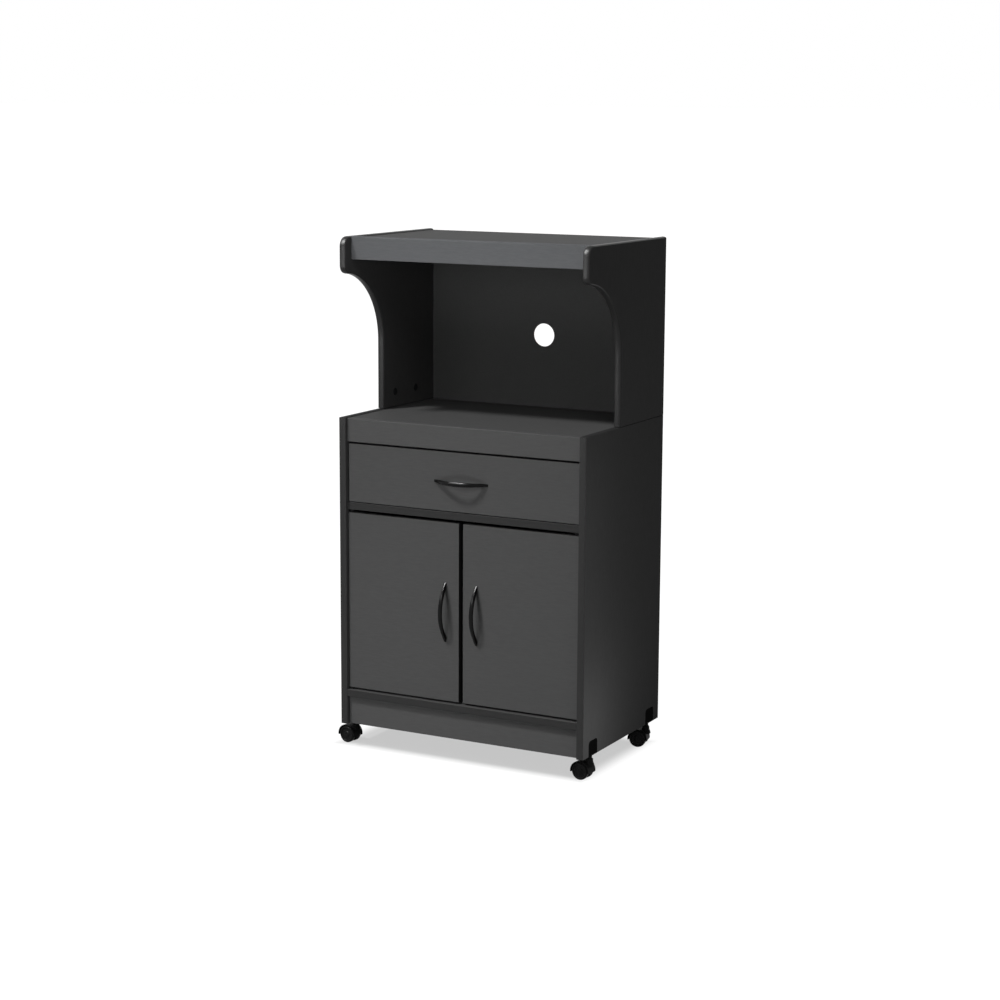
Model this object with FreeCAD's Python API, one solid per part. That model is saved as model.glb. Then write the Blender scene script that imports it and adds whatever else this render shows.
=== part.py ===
import FreeCAD, Part
import math
import os

# Kitchen storage cabinet on casters, in millimetres: a base with a drawer and two doors, and an open
# hutch for a microwave oven above it. +X is right, +Y is back, +Z is up. The origin is on the floor
# under the middle of the whole footprint, which the casters widen on the left.

# Overall sizes
WIDTH = 600.0
DEPTH = 385.0
BASE_HEIGHT = 689.0
HUTCH_HEIGHT = 392.0
CASTER_HEIGHT = 55.5
BOARD = 16.0
BACK_SHEET = 3.0
BACK_INSET = 2.0
X_MID = 16.0
FRONT = -184.0
EASED = 0.6

# Fronts and shelves, from the top of the base downwards
RECESS = 8.0
WORKTOP_DROP = 1.5
APRON_HEIGHT = 51.5
APRON_ROUND = 3.0
DRAWER_TOP_GAP = 4.3
DRAWER_FRONT_HEIGHT = 128.0
DRAWER_BOTTOM_GAP = 2.0
DRAWER_SIDE_GAP = 3.5
DOOR_TOP_GAP = 7.0
DOOR_HEIGHT = 394.6
DOOR_BOTTOM_GAP = 4.6
DOOR_SIDE_GAP = 1.5
DOOR_MIDDLE_GAP = 10.0
PLINTH_RECESS = 10.0
BACK_OVERLAP = 7.5
SHELF_Z = 330.0
SHELF_SETBACK = 60.0
SHELF_PLAY = 1.0

# Hutch
NOSE_SETBACK = 4.0
NOSE_TOP_ROUND = 22.0
NOSE_UNDER_ROUND = 18.0
CURVE_RADIUS = 158.0
CURVE_Z = 154.0
FASCIA_SETBACK = 29.5
FASCIA_HEIGHT = 49.5
FASCIA_DROP = 0.5
HUTCH_TOP_DROP = 3.5
CABLE_HOLE_RADIUS = 26.0
CABLE_HOLE_X = 3.0
CABLE_HOLE_Z = 161.5

# Drawer box and roller runners
BOX_BOARD = 12.0
BOX_HEIGHT = 92.0
BOX_DEPTH = 340.0
BOX_BOTTOM_SHEET = 3.0
GROOVE_DEPTH = 5.0
GROOVE_UP = 8.0
BOX_DOWEL_RADIUS = 3.0
BOX_DOWEL_LENGTH = 29.0
BOX_FIXINGS_UP = (25.0, 77.0)
BOX_SCREW_LENGTH = 30.0
RUNNER_SPACE = 12.5
RUNNER_STEEL = 1.2
RUNNER_UP = 8.3
RUNNER_LENGTH = 352.0
RUNNER_FROM_FRONT = 26.0
RUNNER_FLANGE = 10.5
CHANNEL_HEIGHT = 18.6
FLANGE_PAST_ROLLER = 14.0
RAIL_UP = 6.0
RAIL_FLANGE_UP = 17.0
RAIL_FLANGE_STEEL = 1.0
RAIL_FLANGE_IN = 3.0
RAIL_SCREW_IN = 5.0
CHANNEL_SCREWS_IN = (40.0, 170.0, 322.0)
RAIL_SCREWS_IN = (30.0, 170.0, 290.0)
ROLLER_RADIUS = 9.0
ROLLER_WIDTH = 7.5
ROLLER_EDGE = 0.8
STUB_RADIUS = 2.0
STUB_HEAD = 0.6
STUB_HEAD_RADIUS = 3.2
STUB_PAST_ROLLER = 0.9
FRONT_ROLLER_GAP = 0.4
REAR_ROLLER_GAP = 3.3
FRONT_ROLLER_IN = 38.0
REAR_ROLLER_IN = 345.0
TOUCH_GAP = 0.3
RUNNING_GAP = 0.05

# Pivot hinges and the catch
PIN_FROM_EDGE = 8.0
PIN_FROM_FACE = 4.0
PIN_RADIUS = 2.0
PIN_SHOULDER_RADIUS = 3.5
PLATE_STEEL = 1.5
PLATE_WIDTH = 15.0
PLATE_LENGTH = 45.0
LEAF_WIDTH = 13.0
LEAF_LENGTH = 43.0
LEAF_FROM_EDGE = 0.5
PLATE_ROUND = 3.0
PLATE_SCREWS_IN = (18.0, 32.0)
LEAF_SCREWS_IN = (14.0, 27.0)
PIN_IN_DOOR = 4.0
DOOR_HOLE_PLAY = 0.6
STRIKE_SIZE = (24.0, 1.2, 12.0)
STRIKE_FROM_EDGE = 2.0
STRIKE_DROP = 4.0
STRIKE_SCREW_OFFSET = 7.0
CATCH_BODY_BEHIND_MAGNET = 1.2
CATCH_DEPTH = 15.0
CATCH_FOOT = 17.0
CATCH_FOOT_THICK = 2.5
CATCH_SHORT_OF_STRIKE = 8.0
MAGNET_DEPTH = 6.0
MAGNET_FROM_EDGE = 3.0
MAGNET_MARGIN = 2.0
CATCH_SCREW_OFFSET = 12.0

# Handles
HANDLE_LENGTH = 131.0
HANDLE_REACH = 27.0
HANDLE_BAR = 5.5
HANDLE_FOOT = 15.0
HANDLE_TIP = 1.2
HANDLE_WIDTH = 10.0
HANDLE_END_WIDTH = 5.0
HANDLE_SCREW_PITCH = 114.0
DOOR_HANDLE_FROM_EDGE = 33.0
HANDLE_SCREW_RADIUS = 2.0
HANDLE_SCREW_IN = 5.0
HANDLE_SCREW_HEAD_RADIUS = 4.0
HANDLE_SCREW_HEAD = 2.2

# Casters and their sockets
SOCKET_FROM_END = 48.0
SOCKET_WIDTH = 42.0
SOCKET_NOTCH_HEIGHT = 34.0
SOCKET_ROUND = 8.0
SOCKET_FLANGE = 2.0
SOCKET_FLANGE_HEIGHT = 56.0
SOCKET_SCREW_OFFSET = 12.0
STEM_RADIUS = 4.0
STEM_IN_SOCKET = 30.0
TRAIL = 16.0
TRAIL_DEGREES = {"front_left": 172.0, "front_right": 176.0, "rear_left": 184.0, "rear_right": 192.0}
WHEEL_RADIUS = 19.0
WHEEL_WIDTH = 10.3
WHEEL_INNER = 5.0
WHEEL_DISH = 2.5
HOOD_RADIUS = 22.4
HOOD_INNER_RADIUS = 20.4
HOOD_HALF_WIDTH = 15.6
HOOD_OPENING_Z = 16.0
WEB_OPENING_Z = 12.0
WEB_HALF = 4.5
NECK_RADIUS = 8.0
COLLAR_RADIUS = 5.6
NECK_BELOW_PANEL = 8.0
COLLAR_BELOW_PANEL = 2.0
STEM_IN_HOUSING = 16.0
AXLE_RADIUS = 2.5
AXLE_HALF = 12.0

# Small fixings
CAM_RADIUS = 7.5
CAM_DEPTH = 12.4
CAM_FROM_END = 34.0
CAM_CROSS_REACH = 4.5
CAM_CROSS_HALF = 0.7
CAM_CROSS_DEPTH = 1.4
CAM_MOUTH_PLAY = 0.2
CAM_BOLT_RADIUS = 3.0
CAM_BOLT_PLAY = 0.5
CAM_BOLT_IN = 10.0
DOWEL_RADIUS = 4.0
DOWEL_IN_EDGE = 20.0
DOWEL_IN_FACE = 9.0
SCREW_RADIUS = 1.5
SCREW_LENGTH = 11.0
SCREW_HEAD_RADIUS = 3.5
SCREW_HEAD = 1.0
NAIL_RADIUS = 0.7
NAIL_LENGTH = 16.0
NAIL_HEAD_RADIUS = 2.2
NAIL_HEAD = 0.8
NAIL_STEP = 120.0
NAIL_FROM_END = 60.0
NAIL_FROM_FOOT = 40.0
PIN_HOLE_RADIUS = 2.5
PIN_HOLE_DEPTH = 9.0
PIN_HOLE_STEP = 32.0
PIN_HOLES_EACH_WAY = 2
PIN_OUT = 9.0
PIN_COLLAR_RADIUS = 4.0
PIN_COLLAR = 1.2
PIN_ROW_FROM_END = 37.0
FIT = 0.02
CUT_OVER = 1.0

# Where the cams and dowels sit, from the front of the side panels
BOARD_CAMS = (100.0, 270.0)
BOARD_DOWELS = (66.0, 330.0)
HUTCH_TOP_CAMS = (110.0, 280.0)
HUTCH_TOP_DOWELS = (76.0, 340.0)
HUTCH_FOOT_CAMS = (212.0, 303.0)
HUTCH_FOOT_DOWELS = (182.0, 355.0)

# Places worked out from the sizes
LEFT = X_MID - WIDTH / 2
RIGHT = X_MID + WIDTH / 2
IN_LEFT = LEFT + BOARD
IN_RIGHT = RIGHT - BOARD
REAR = FRONT + DEPTH
FRONT_FACE = FRONT + RECESS
BASE_BOTTOM = CASTER_HEIGHT
BASE_TOP = BASE_BOTTOM + BASE_HEIGHT
WORKTOP_Z = BASE_TOP - WORKTOP_DROP
APRON_BOTTOM = WORKTOP_Z - APRON_HEIGHT
DRAWER_TOP = APRON_BOTTOM - DRAWER_TOP_GAP
DRAWER_BOTTOM = DRAWER_TOP - DRAWER_FRONT_HEIGHT
DIVIDER_TOP = DRAWER_BOTTOM - DRAWER_BOTTOM_GAP
DIVIDER_BOTTOM = DIVIDER_TOP - BOARD
RUNNER_Z = DIVIDER_TOP + RUNNER_UP
DOOR_TOP = DIVIDER_BOTTOM - DOOR_TOP_GAP
DOOR_BOTTOM = DOOR_TOP - DOOR_HEIGHT
FLOOR_BOARD_TOP = DOOR_BOTTOM - DOOR_BOTTOM_GAP
FLOOR_BOARD_BOTTOM = FLOOR_BOARD_TOP - BOARD
HUTCH_TOP = BASE_TOP + HUTCH_HEIGHT
HUTCH_BOARD_TOP = HUTCH_TOP - HUTCH_TOP_DROP
HUTCH_BOARD_BOTTOM = HUTCH_BOARD_TOP - BOARD
FASCIA_FRONT = FRONT + FASCIA_SETBACK
FASCIA_TOP = HUTCH_TOP - FASCIA_DROP
DOOR_BACK = FRONT_FACE + BOARD
SIDES = (-1, 1)

V = FreeCAD.Vector
X_AXIS = V(1, 0, 0)
Y_AXIS = V(0, 1, 0)
Z_AXIS = V(0, 0, 1)

solids = {}
cuts = {}


def add(node, shape):
    solids.setdefault(node, []).append(shape)


def cut_from(node, tool):
    cuts.setdefault(node, []).append(tool)


def box(x0, x1, y0, y1, z0, z1):
    return Part.makeBox(x1 - x0, y1 - y0, z1 - z0, V(x0, y0, z0))


def rod(radius, start, direction, length):
    return Part.makeCylinder(radius, length, start, direction)


def near(value, wanted):
    return abs(value - wanted) < 1e-4


def board(x0, x1, y0, y1, z0, z1, front_top_round=EASED):
    """A board with all its edges eased, and its upper front edge rounded more if asked."""
    plain = box(x0, x1, y0, y1, z0, z1)
    if front_top_round > EASED:
        edge = [e for e in plain.Edges if near(e.CenterOfMass.y, y0) and near(e.CenterOfMass.z, z1)]
        plain = plain.makeFillet(front_top_round, edge)
        edges = [e for e in plain.Edges if near(e.CenterOfMass.z, z0) or near(e.CenterOfMass.y, y1)]
        return plain.makeFillet(EASED, edges)
    return plain.makeFillet(EASED, plain.Edges)


def turned(shape, position, x_direction, z_direction):
    """A copy of a shape made at the origin, with its X and Z axes turned to the given directions."""
    turn = FreeCAD.Rotation(x_direction, z_direction.cross(x_direction), z_direction, "ZXY")
    copy = shape.copy()
    copy.Placement = FreeCAD.Placement(position, turn).multiply(copy.Placement)
    return copy


def mirrored(shape):
    return shape.mirror(V(X_MID, 0, 0), X_AXIS)


def inner_face(side):
    return IN_LEFT if side < 0 else IN_RIGHT


def side_name(side):
    return "left" if side < 0 else "right"


# Fixings shared by all the boards

def cam_pair(node, panel, centre, face_normal, towards):
    """A cam disc let into a board's face, and the bolt that runs from it into the next panel."""
    disc = rod(CAM_RADIUS, V(0, 0, -CAM_DEPTH), Z_AXIS, CAM_DEPTH)
    reach, half = CAM_CROSS_REACH, CAM_CROSS_HALF
    cross = box(-reach, reach, -half, half, -CAM_CROSS_DEPTH, 0)
    cross = cross.fuse(box(-half, half, -reach, reach, -CAM_CROSS_DEPTH, 0))
    axis_z = -BOARD / 2
    mouth = rod(CAM_BOLT_RADIUS + CAM_MOUTH_PLAY, V(-CUT_OVER, 0, axis_z), X_AXIS, CAM_RADIUS + 2 * CUT_OVER)
    disc = disc.cut(cross).cut(mouth)
    bolt = rod(CAM_BOLT_RADIUS, V(0, 0, axis_z), X_AXIS, CAM_FROM_END + CAM_BOLT_IN)
    pocket = rod(CAM_RADIUS + FIT, V(0, 0, -CAM_DEPTH - FIT), Z_AXIS, CAM_DEPTH + CUT_OVER)
    channel = rod(CAM_BOLT_RADIUS + CAM_BOLT_PLAY, V(0, 0, axis_z), X_AXIS, CAM_FROM_END + CUT_OVER)
    thread_start = V(CAM_FROM_END - CUT_OVER, 0, axis_z)
    thread = rod(CAM_BOLT_RADIUS + FIT, thread_start, X_AXIS, CAM_BOLT_IN + CUT_OVER + FIT)
    add("cam_locks", turned(disc, centre, towards, face_normal))
    add("cam_bolts", turned(bolt, centre, towards, face_normal))
    cut_from(node, turned(pocket, centre, towards, face_normal))
    cut_from(node, turned(channel, centre, towards, face_normal))
    cut_from(panel, turned(thread, centre, towards, face_normal))


def dowel(edge_node, face_node, joint, towards):
    """A wooden dowel across a joint: towards points from the board's edge into the other panel."""
    start = joint - towards * DOWEL_IN_EDGE
    length = DOWEL_IN_EDGE + DOWEL_IN_FACE
    add("wood_dowels", rod(DOWEL_RADIUS, start, towards, length))
    hole = rod(DOWEL_RADIUS + FIT, start - towards * CUT_OVER, towards, length + 2 * CUT_OVER)
    cut_from(edge_node, hole)
    cut_from(face_node, hole)


def screw(node, head_base, inward, bored, length=SCREW_LENGTH):
    """A flat-headed screw whose head stands on head_base, and its holes in the bored nodes."""
    shank = rod(SCREW_RADIUS, head_base, inward, length)
    head = rod(SCREW_HEAD_RADIUS, head_base - inward * SCREW_HEAD, inward, SCREW_HEAD)
    add(node, shank.fuse(head))
    for other in bored:
        cut_from(other, rod(SCREW_RADIUS + FIT, head_base, inward, length + FIT))


def board_joints(node, panel_suffix, face_z, face_normal, y_values, dowel_z, dowel_y):
    """Cams and dowels that hold both ends of a level board to the side panels."""
    for side in SIDES:
        panel = side_name(side) + panel_suffix
        towards = X_AXIS * side
        for y in y_values:
            centre = V(inner_face(side) - side * CAM_FROM_END, y, face_z)
            cam_pair(node, panel, centre, face_normal, towards)
        for y in dowel_y:
            dowel(node, panel, V(inner_face(side), y, dowel_z), towards)


def upright_joints(node, panel_suffix, face_y, z):
    """One cam at each end of an upright board, on its rear face."""
    for side in SIDES:
        centre = V(inner_face(side) - side * CAM_FROM_END, face_y, z)
        cam_pair(node, side_name(side) + panel_suffix, centre, Y_AXIS, X_AXIS * side)


# Base

def socket_outline(height, grow=0.0):
    """The upright outline of a caster socket, rounded at its two upper corners, 1 mm thick along X."""
    half = SOCKET_WIDTH / 2 + grow
    plate = Part.makeBox(1.0, 2 * half, height + grow, V(0, -half, 0))
    top = [e for e in plate.Edges if near(e.CenterOfMass.z, height + grow) and near(e.Length, 1.0)]
    return plate.makeFillet(SOCKET_ROUND, top)


def stretched_x(shape, x0, x1):
    """A flat plate of 1 mm along X, remade from x0 to x1."""
    face = [f for f in shape.Faces if near(f.CenterOfMass.x, 0)][0]
    moved = face.translated(V(x0, 0, 0))
    return moved.extrude(V(x1 - x0, 0, 0))


def socket_places():
    """Side, Y of the stem and the caster's name, for the four casters."""
    for side in SIDES:
        yield side, FRONT + SOCKET_FROM_END, "front_" + side_name(side)
        yield side, REAR - SOCKET_FROM_END, "rear_" + side_name(side)


def build_sockets():
    for side, y, _ in socket_places():
        outer, inner = (LEFT, IN_LEFT) if side < 0 else (IN_RIGHT, RIGHT)
        block = stretched_x(socket_outline(SOCKET_NOTCH_HEIGHT), outer, inner)
        flange_x = (inner, inner + SOCKET_FLANGE) if side < 0 else (outer - SOCKET_FLANGE, outer)
        flange = stretched_x(socket_outline(SOCKET_FLANGE_HEIGHT), *flange_x)
        body = block.fuse(flange).translated(V(0, y, BASE_BOTTOM))
        stem_x = (outer + inner) / 2
        bore_start = V(stem_x, y, BASE_BOTTOM - CUT_OVER)
        bore = rod(STEM_RADIUS + RUNNING_GAP, bore_start, Z_AXIS, STEM_IN_SOCKET + 2 * CUT_OVER)
        body = body.cut(bore)
        notch = stretched_x(socket_outline(SOCKET_NOTCH_HEIGHT), outer - CUT_OVER, inner + CUT_OVER)
        cut_from(side_name(side) + "_side_panel", notch.translated(V(0, y, BASE_BOTTOM)))
        add("caster_sockets", body)
        head_x = inner_face(side) - side * SOCKET_FLANGE
        screw_z = BASE_BOTTOM + SOCKET_NOTCH_HEIGHT + SOCKET_SCREW_OFFSET
        for offset in (-SOCKET_SCREW_OFFSET, SOCKET_SCREW_OFFSET):
            place = V(head_x, y + offset, screw_z)
            bored = ("caster_sockets", side_name(side) + "_side_panel")
            screw("carcass_screws", place, X_AXIS * side, bored)


def build_base():
    add("left_side_panel", board(LEFT, IN_LEFT, FRONT, REAR, BASE_BOTTOM, BASE_TOP))
    add("right_side_panel", board(IN_RIGHT, RIGHT, FRONT, REAR, BASE_BOTTOM, BASE_TOP))
    apron_back = FRONT_FACE + BOARD
    add("worktop", board(IN_LEFT, IN_RIGHT, apron_back, REAR, WORKTOP_Z - BOARD, WORKTOP_Z))
    add("front_apron",
        board(IN_LEFT, IN_RIGHT, FRONT_FACE, apron_back, APRON_BOTTOM, WORKTOP_Z, APRON_ROUND))
    add("drawer_divider", board(IN_LEFT, IN_RIGHT, FRONT_FACE, REAR, DIVIDER_BOTTOM, DIVIDER_TOP))
    add("bottom_shelf", board(IN_LEFT, IN_RIGHT, FRONT, REAR, FLOOR_BOARD_BOTTOM, FLOOR_BOARD_TOP))
    plinth_front = FRONT + PLINTH_RECESS
    add("plinth",
        board(IN_LEFT, IN_RIGHT, plinth_front, plinth_front + BOARD, BASE_BOTTOM, FLOOR_BOARD_BOTTOM))
    add("lower_back_panel",
        box(LEFT + BACK_INSET, RIGHT - BACK_INSET, REAR, REAR + BACK_SHEET,
            FLOOR_BOARD_BOTTOM - BACK_OVERLAP, WORKTOP_Z))
    cam_y = [FRONT + inset for inset in BOARD_CAMS]
    dowel_y = [FRONT + inset for inset in BOARD_DOWELS]
    levels = (("worktop", WORKTOP_Z), ("drawer_divider", DIVIDER_TOP), ("bottom_shelf", FLOOR_BOARD_TOP))
    for node, top in levels:
        board_joints(node, "_side_panel", top - BOARD, -Z_AXIS, cam_y, top - BOARD / 2, dowel_y)
    upright_joints("front_apron", "_side_panel", apron_back, (APRON_BOTTOM + WORKTOP_Z - BOARD) / 2)
    upright_joints("plinth", "_side_panel", plinth_front + BOARD, (BASE_BOTTOM + FLOOR_BOARD_BOTTOM) / 2)


def build_inner_shelf():
    front = FRONT + SHELF_SETBACK
    rear = REAR - SHELF_PLAY
    add("inner_shelf",
        board(IN_LEFT + SHELF_PLAY, IN_RIGHT - SHELF_PLAY, front, rear, SHELF_Z, SHELF_Z + BOARD))
    pin_z = SHELF_Z - PIN_HOLE_RADIUS
    for side in SIDES:
        face = inner_face(side)
        for y in (front + PIN_ROW_FROM_END, REAR - PIN_ROW_FROM_END):
            for step in range(-PIN_HOLES_EACH_WAY, PIN_HOLES_EACH_WAY + 1):
                start = V(face - side * CUT_OVER, y, pin_z + step * PIN_HOLE_STEP)
                hole = rod(PIN_HOLE_RADIUS + FIT, start, X_AXIS * side, PIN_HOLE_DEPTH + CUT_OVER)
                cut_from(side_name(side) + "_side_panel", hole)
            pin_start = V(face - side * PIN_OUT, y, pin_z)
            pin = rod(PIN_HOLE_RADIUS, pin_start, X_AXIS * side, PIN_OUT + PIN_HOLE_DEPTH - FIT)
            collar_start = V(face - side * PIN_COLLAR, y, pin_z)
            collar = rod(PIN_COLLAR_RADIUS, collar_start, X_AXIS * side, PIN_COLLAR)
            cap_cut = box(face - PIN_OUT - 1, face + PIN_OUT + 1, y - PIN_OUT, y + PIN_OUT,
                          SHELF_Z, SHELF_Z + PIN_OUT)
            add("shelf_pins", pin.fuse(collar).cut(cap_cut))


# Hutch

def hutch_side_face(x):
    """The outline of a hutch side panel: column, quarter-round cut and rounded nose."""
    nose = FRONT + NOSE_SETBACK
    column = nose + CURVE_RADIUS
    curve_z = BASE_TOP + CURVE_Z
    reach = CURVE_RADIUS + NOSE_UNDER_ROUND
    under_z = curve_z + math.sqrt(reach ** 2 - NOSE_UNDER_ROUND ** 2)
    share = CURVE_RADIUS / reach
    meet = V(x, nose + NOSE_UNDER_ROUND * share, curve_z + (under_z - curve_z) * share)

    def on_circle(y, z, radius, degrees):
        angle = math.radians(degrees)
        return V(x, y + radius * math.cos(angle), z + radius * math.sin(angle))

    foot = V(x, column, BASE_TOP)
    curve_start = V(x, column, curve_z)
    curve_middle = on_circle(nose, curve_z, CURVE_RADIUS, 45.0)
    meet_degrees = 180 + math.degrees(math.atan2(under_z - curve_z, NOSE_UNDER_ROUND))
    under_degrees = (meet_degrees + 180) / 2
    under_middle = on_circle(nose + NOSE_UNDER_ROUND, under_z, NOSE_UNDER_ROUND, under_degrees)
    under_end = V(x, nose, under_z)
    top_z = HUTCH_TOP - NOSE_TOP_ROUND
    top_start = V(x, nose, top_z)
    top_middle = on_circle(nose + NOSE_TOP_ROUND, top_z, NOSE_TOP_ROUND, 135.0)
    top_end = V(x, nose + NOSE_TOP_ROUND, HUTCH_TOP)
    rear_top = V(x, REAR, HUTCH_TOP)
    rear_foot = V(x, REAR, BASE_TOP)
    edges = [
        Part.LineSegment(foot, curve_start).toShape(),
        Part.Arc(curve_start, curve_middle, meet).toShape(),
        Part.Arc(meet, under_middle, under_end).toShape(),
        Part.LineSegment(under_end, top_start).toShape(),
        Part.Arc(top_start, top_middle, top_end).toShape(),
        Part.LineSegment(top_end, rear_top).toShape(),
        Part.LineSegment(rear_top, rear_foot).toShape(),
        Part.LineSegment(rear_foot, foot).toShape(),
    ]
    return Part.Face(Part.Wire(edges))


def build_hutch():
    for side in SIDES:
        x0, x1 = (LEFT, IN_LEFT) if side < 0 else (IN_RIGHT, RIGHT)
        panel = hutch_side_face(x0).extrude(V(x1 - x0, 0, 0))
        rims = [e for e in panel.Edges if near(e.BoundBox.XLength, 0)]
        outline = [e for e in rims if e.CenterOfMass.z > BASE_TOP + BOARD]
        add("hutch_" + side_name(side) + "_panel", panel.makeFillet(EASED, outline))
    fascia_back = FASCIA_FRONT + BOARD
    fascia_bottom = FASCIA_TOP - FASCIA_HEIGHT
    add("hutch_top", board(IN_LEFT, IN_RIGHT, fascia_back, REAR, HUTCH_BOARD_BOTTOM, HUTCH_BOARD_TOP))
    add("hutch_fascia",
        board(IN_LEFT, IN_RIGHT, FASCIA_FRONT, fascia_back, fascia_bottom, FASCIA_TOP, APRON_ROUND))
    back = box(LEFT + BACK_INSET, RIGHT - BACK_INSET, REAR, REAR + BACK_SHEET, WORKTOP_Z, HUTCH_BOARD_TOP)
    hole_start = V(X_MID + CABLE_HOLE_X, REAR - CUT_OVER, BASE_TOP + CABLE_HOLE_Z)
    hole = rod(CABLE_HOLE_RADIUS, hole_start, Y_AXIS, BACK_SHEET + 2 * CUT_OVER)
    add("hutch_back_panel", back.cut(hole))
    for side in SIDES:
        name = side_name(side)
        hutch_panel = "hutch_" + name + "_panel"
        towards = X_AXIS * side
        for inset in HUTCH_TOP_CAMS:
            centre = V(inner_face(side) - side * CAM_FROM_END, FRONT + inset, HUTCH_BOARD_BOTTOM)
            cam_pair("hutch_top", hutch_panel, centre, -Z_AXIS, towards)
        for inset in HUTCH_TOP_DOWELS:
            joint = V(inner_face(side), FRONT + inset, HUTCH_BOARD_TOP - BOARD / 2)
            dowel("hutch_top", hutch_panel, joint, towards)
        fascia_z = (fascia_bottom + HUTCH_BOARD_BOTTOM) / 2
        centre = V(inner_face(side) - side * CAM_FROM_END, fascia_back, fascia_z)
        cam_pair("hutch_fascia", hutch_panel, centre, Y_AXIS, towards)
        for inset in HUTCH_FOOT_CAMS:
            centre = V(inner_face(side), FRONT + inset, BASE_TOP + CAM_FROM_END)
            cam_pair(hutch_panel, name + "_side_panel", centre, -towards, -Z_AXIS)
        panel_middle = inner_face(side) + side * BOARD / 2
        for inset in HUTCH_FOOT_DOWELS:
            dowel(hutch_panel, name + "_side_panel", V(panel_middle, FRONT + inset, BASE_TOP), -Z_AXIS)


def evenly(low, high):
    """Places from low to high, no further apart than the nails' step."""
    count = math.ceil((high - low) / NAIL_STEP)
    return [low + (high - low) * i / count for i in range(count + 1)]


def nail(x, z, sheet, wood):
    rear = REAR + BACK_SHEET
    shank = rod(NAIL_RADIUS, V(x, rear, z), -Y_AXIS, NAIL_LENGTH)
    head = rod(NAIL_HEAD_RADIUS, V(x, rear, z), Y_AXIS, NAIL_HEAD)
    add("panel_nails", shank.fuse(head))
    hole = rod(NAIL_RADIUS + FIT, V(x, rear + CUT_OVER, z), -Y_AXIS, NAIL_LENGTH + CUT_OVER + FIT)
    cut_from(sheet, hole)
    cut_from(wood, hole)


def build_nails():
    boards = (
        ("lower_back_panel", "drawer_divider", DIVIDER_TOP),
        ("lower_back_panel", "bottom_shelf", FLOOR_BOARD_TOP),
        ("lower_back_panel", "worktop", WORKTOP_Z),
        ("hutch_back_panel", "hutch_top", HUTCH_BOARD_TOP),
    )
    for sheet, node, top in boards:
        for x in evenly(IN_LEFT + NAIL_FROM_END, IN_RIGHT - NAIL_FROM_END):
            nail(x, top - BOARD / 2, sheet, node)
    for side in SIDES:
        x = inner_face(side) + side * BOARD / 2
        for z in evenly(FLOOR_BOARD_TOP + NAIL_FROM_FOOT, WORKTOP_Z - NAIL_FROM_END):
            nail(x, z, "lower_back_panel", side_name(side) + "_side_panel")
        for z in evenly(BASE_TOP + NAIL_FROM_FOOT, HUTCH_BOARD_TOP - NAIL_FROM_END):
            nail(x, z, "hutch_back_panel", "hutch_" + side_name(side) + "_panel")


# Drawer

def handle():
    """A bow handle standing on the plane y = 0, reaching towards -Y, its length along Z."""
    half = HANDLE_LENGTH / 2
    foot = half - HANDLE_FOOT
    outer = (V(0, -HANDLE_TIP, -half), V(0, -HANDLE_REACH, 0), V(0, -HANDLE_TIP, half))
    inner = (V(0, 0, foot), V(0, HANDLE_BAR - HANDLE_REACH, 0), V(0, 0, -foot))
    outline = [
        Part.Arc(*outer).toShape(),
        Part.LineSegment(outer[2], V(0, 0, half)).toShape(),
        Part.LineSegment(V(0, 0, half), inner[0]).toShape(),
        Part.Arc(*inner).toShape(),
        Part.LineSegment(inner[2], V(0, 0, -half)).toShape(),
        Part.LineSegment(V(0, 0, -half), outer[0]).toShape(),
    ]
    bow = Part.Face(Part.Wire(outline)).translated(V(-HANDLE_WIDTH, 0, 0)).extrude(V(2 * HANDLE_WIDTH, 0, 0))
    wide = HANDLE_WIDTH / 2
    thin = HANDLE_END_WIDTH / 2
    deep = HANDLE_REACH + CUT_OVER
    lens = [
        Part.Arc(V(-thin, -deep, -half), V(-wide, -deep, 0), V(-thin, -deep, half)).toShape(),
        Part.LineSegment(V(-thin, -deep, half), V(thin, -deep, half)).toShape(),
        Part.Arc(V(thin, -deep, half), V(wide, -deep, 0), V(thin, -deep, -half)).toShape(),
        Part.LineSegment(V(thin, -deep, -half), V(-thin, -deep, -half)).toShape(),
    ]
    front_view = Part.Face(Part.Wire(lens)).extrude(V(0, deep, 0))
    bar = bow.common(front_view)
    for z in (-HANDLE_SCREW_PITCH / 2, HANDLE_SCREW_PITCH / 2):
        bar = bar.cut(rod(HANDLE_SCREW_RADIUS + FIT, V(0, CUT_OVER, z), -Y_AXIS, HANDLE_SCREW_IN + CUT_OVER))
    return bar


def handle_screws(node, panel, centre, along):
    """The two screws that come through a front from behind into a handle's feet."""
    for end in (-1, 1):
        place = centre + along * (end * HANDLE_SCREW_PITCH / 2)
        behind = V(place.x, centre.y + BOARD, place.z)
        shank = rod(HANDLE_SCREW_RADIUS, behind, -Y_AXIS, BOARD + HANDLE_SCREW_IN - CUT_OVER)
        head = rod(HANDLE_SCREW_HEAD_RADIUS, behind, Y_AXIS, HANDLE_SCREW_HEAD)
        add(node, shank.fuse(head))
        hole = rod(HANDLE_SCREW_RADIUS + FIT, behind + Y_AXIS * CUT_OVER, -Y_AXIS, BOARD + 2 * CUT_OVER)
        cut_from(panel, hole)


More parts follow.
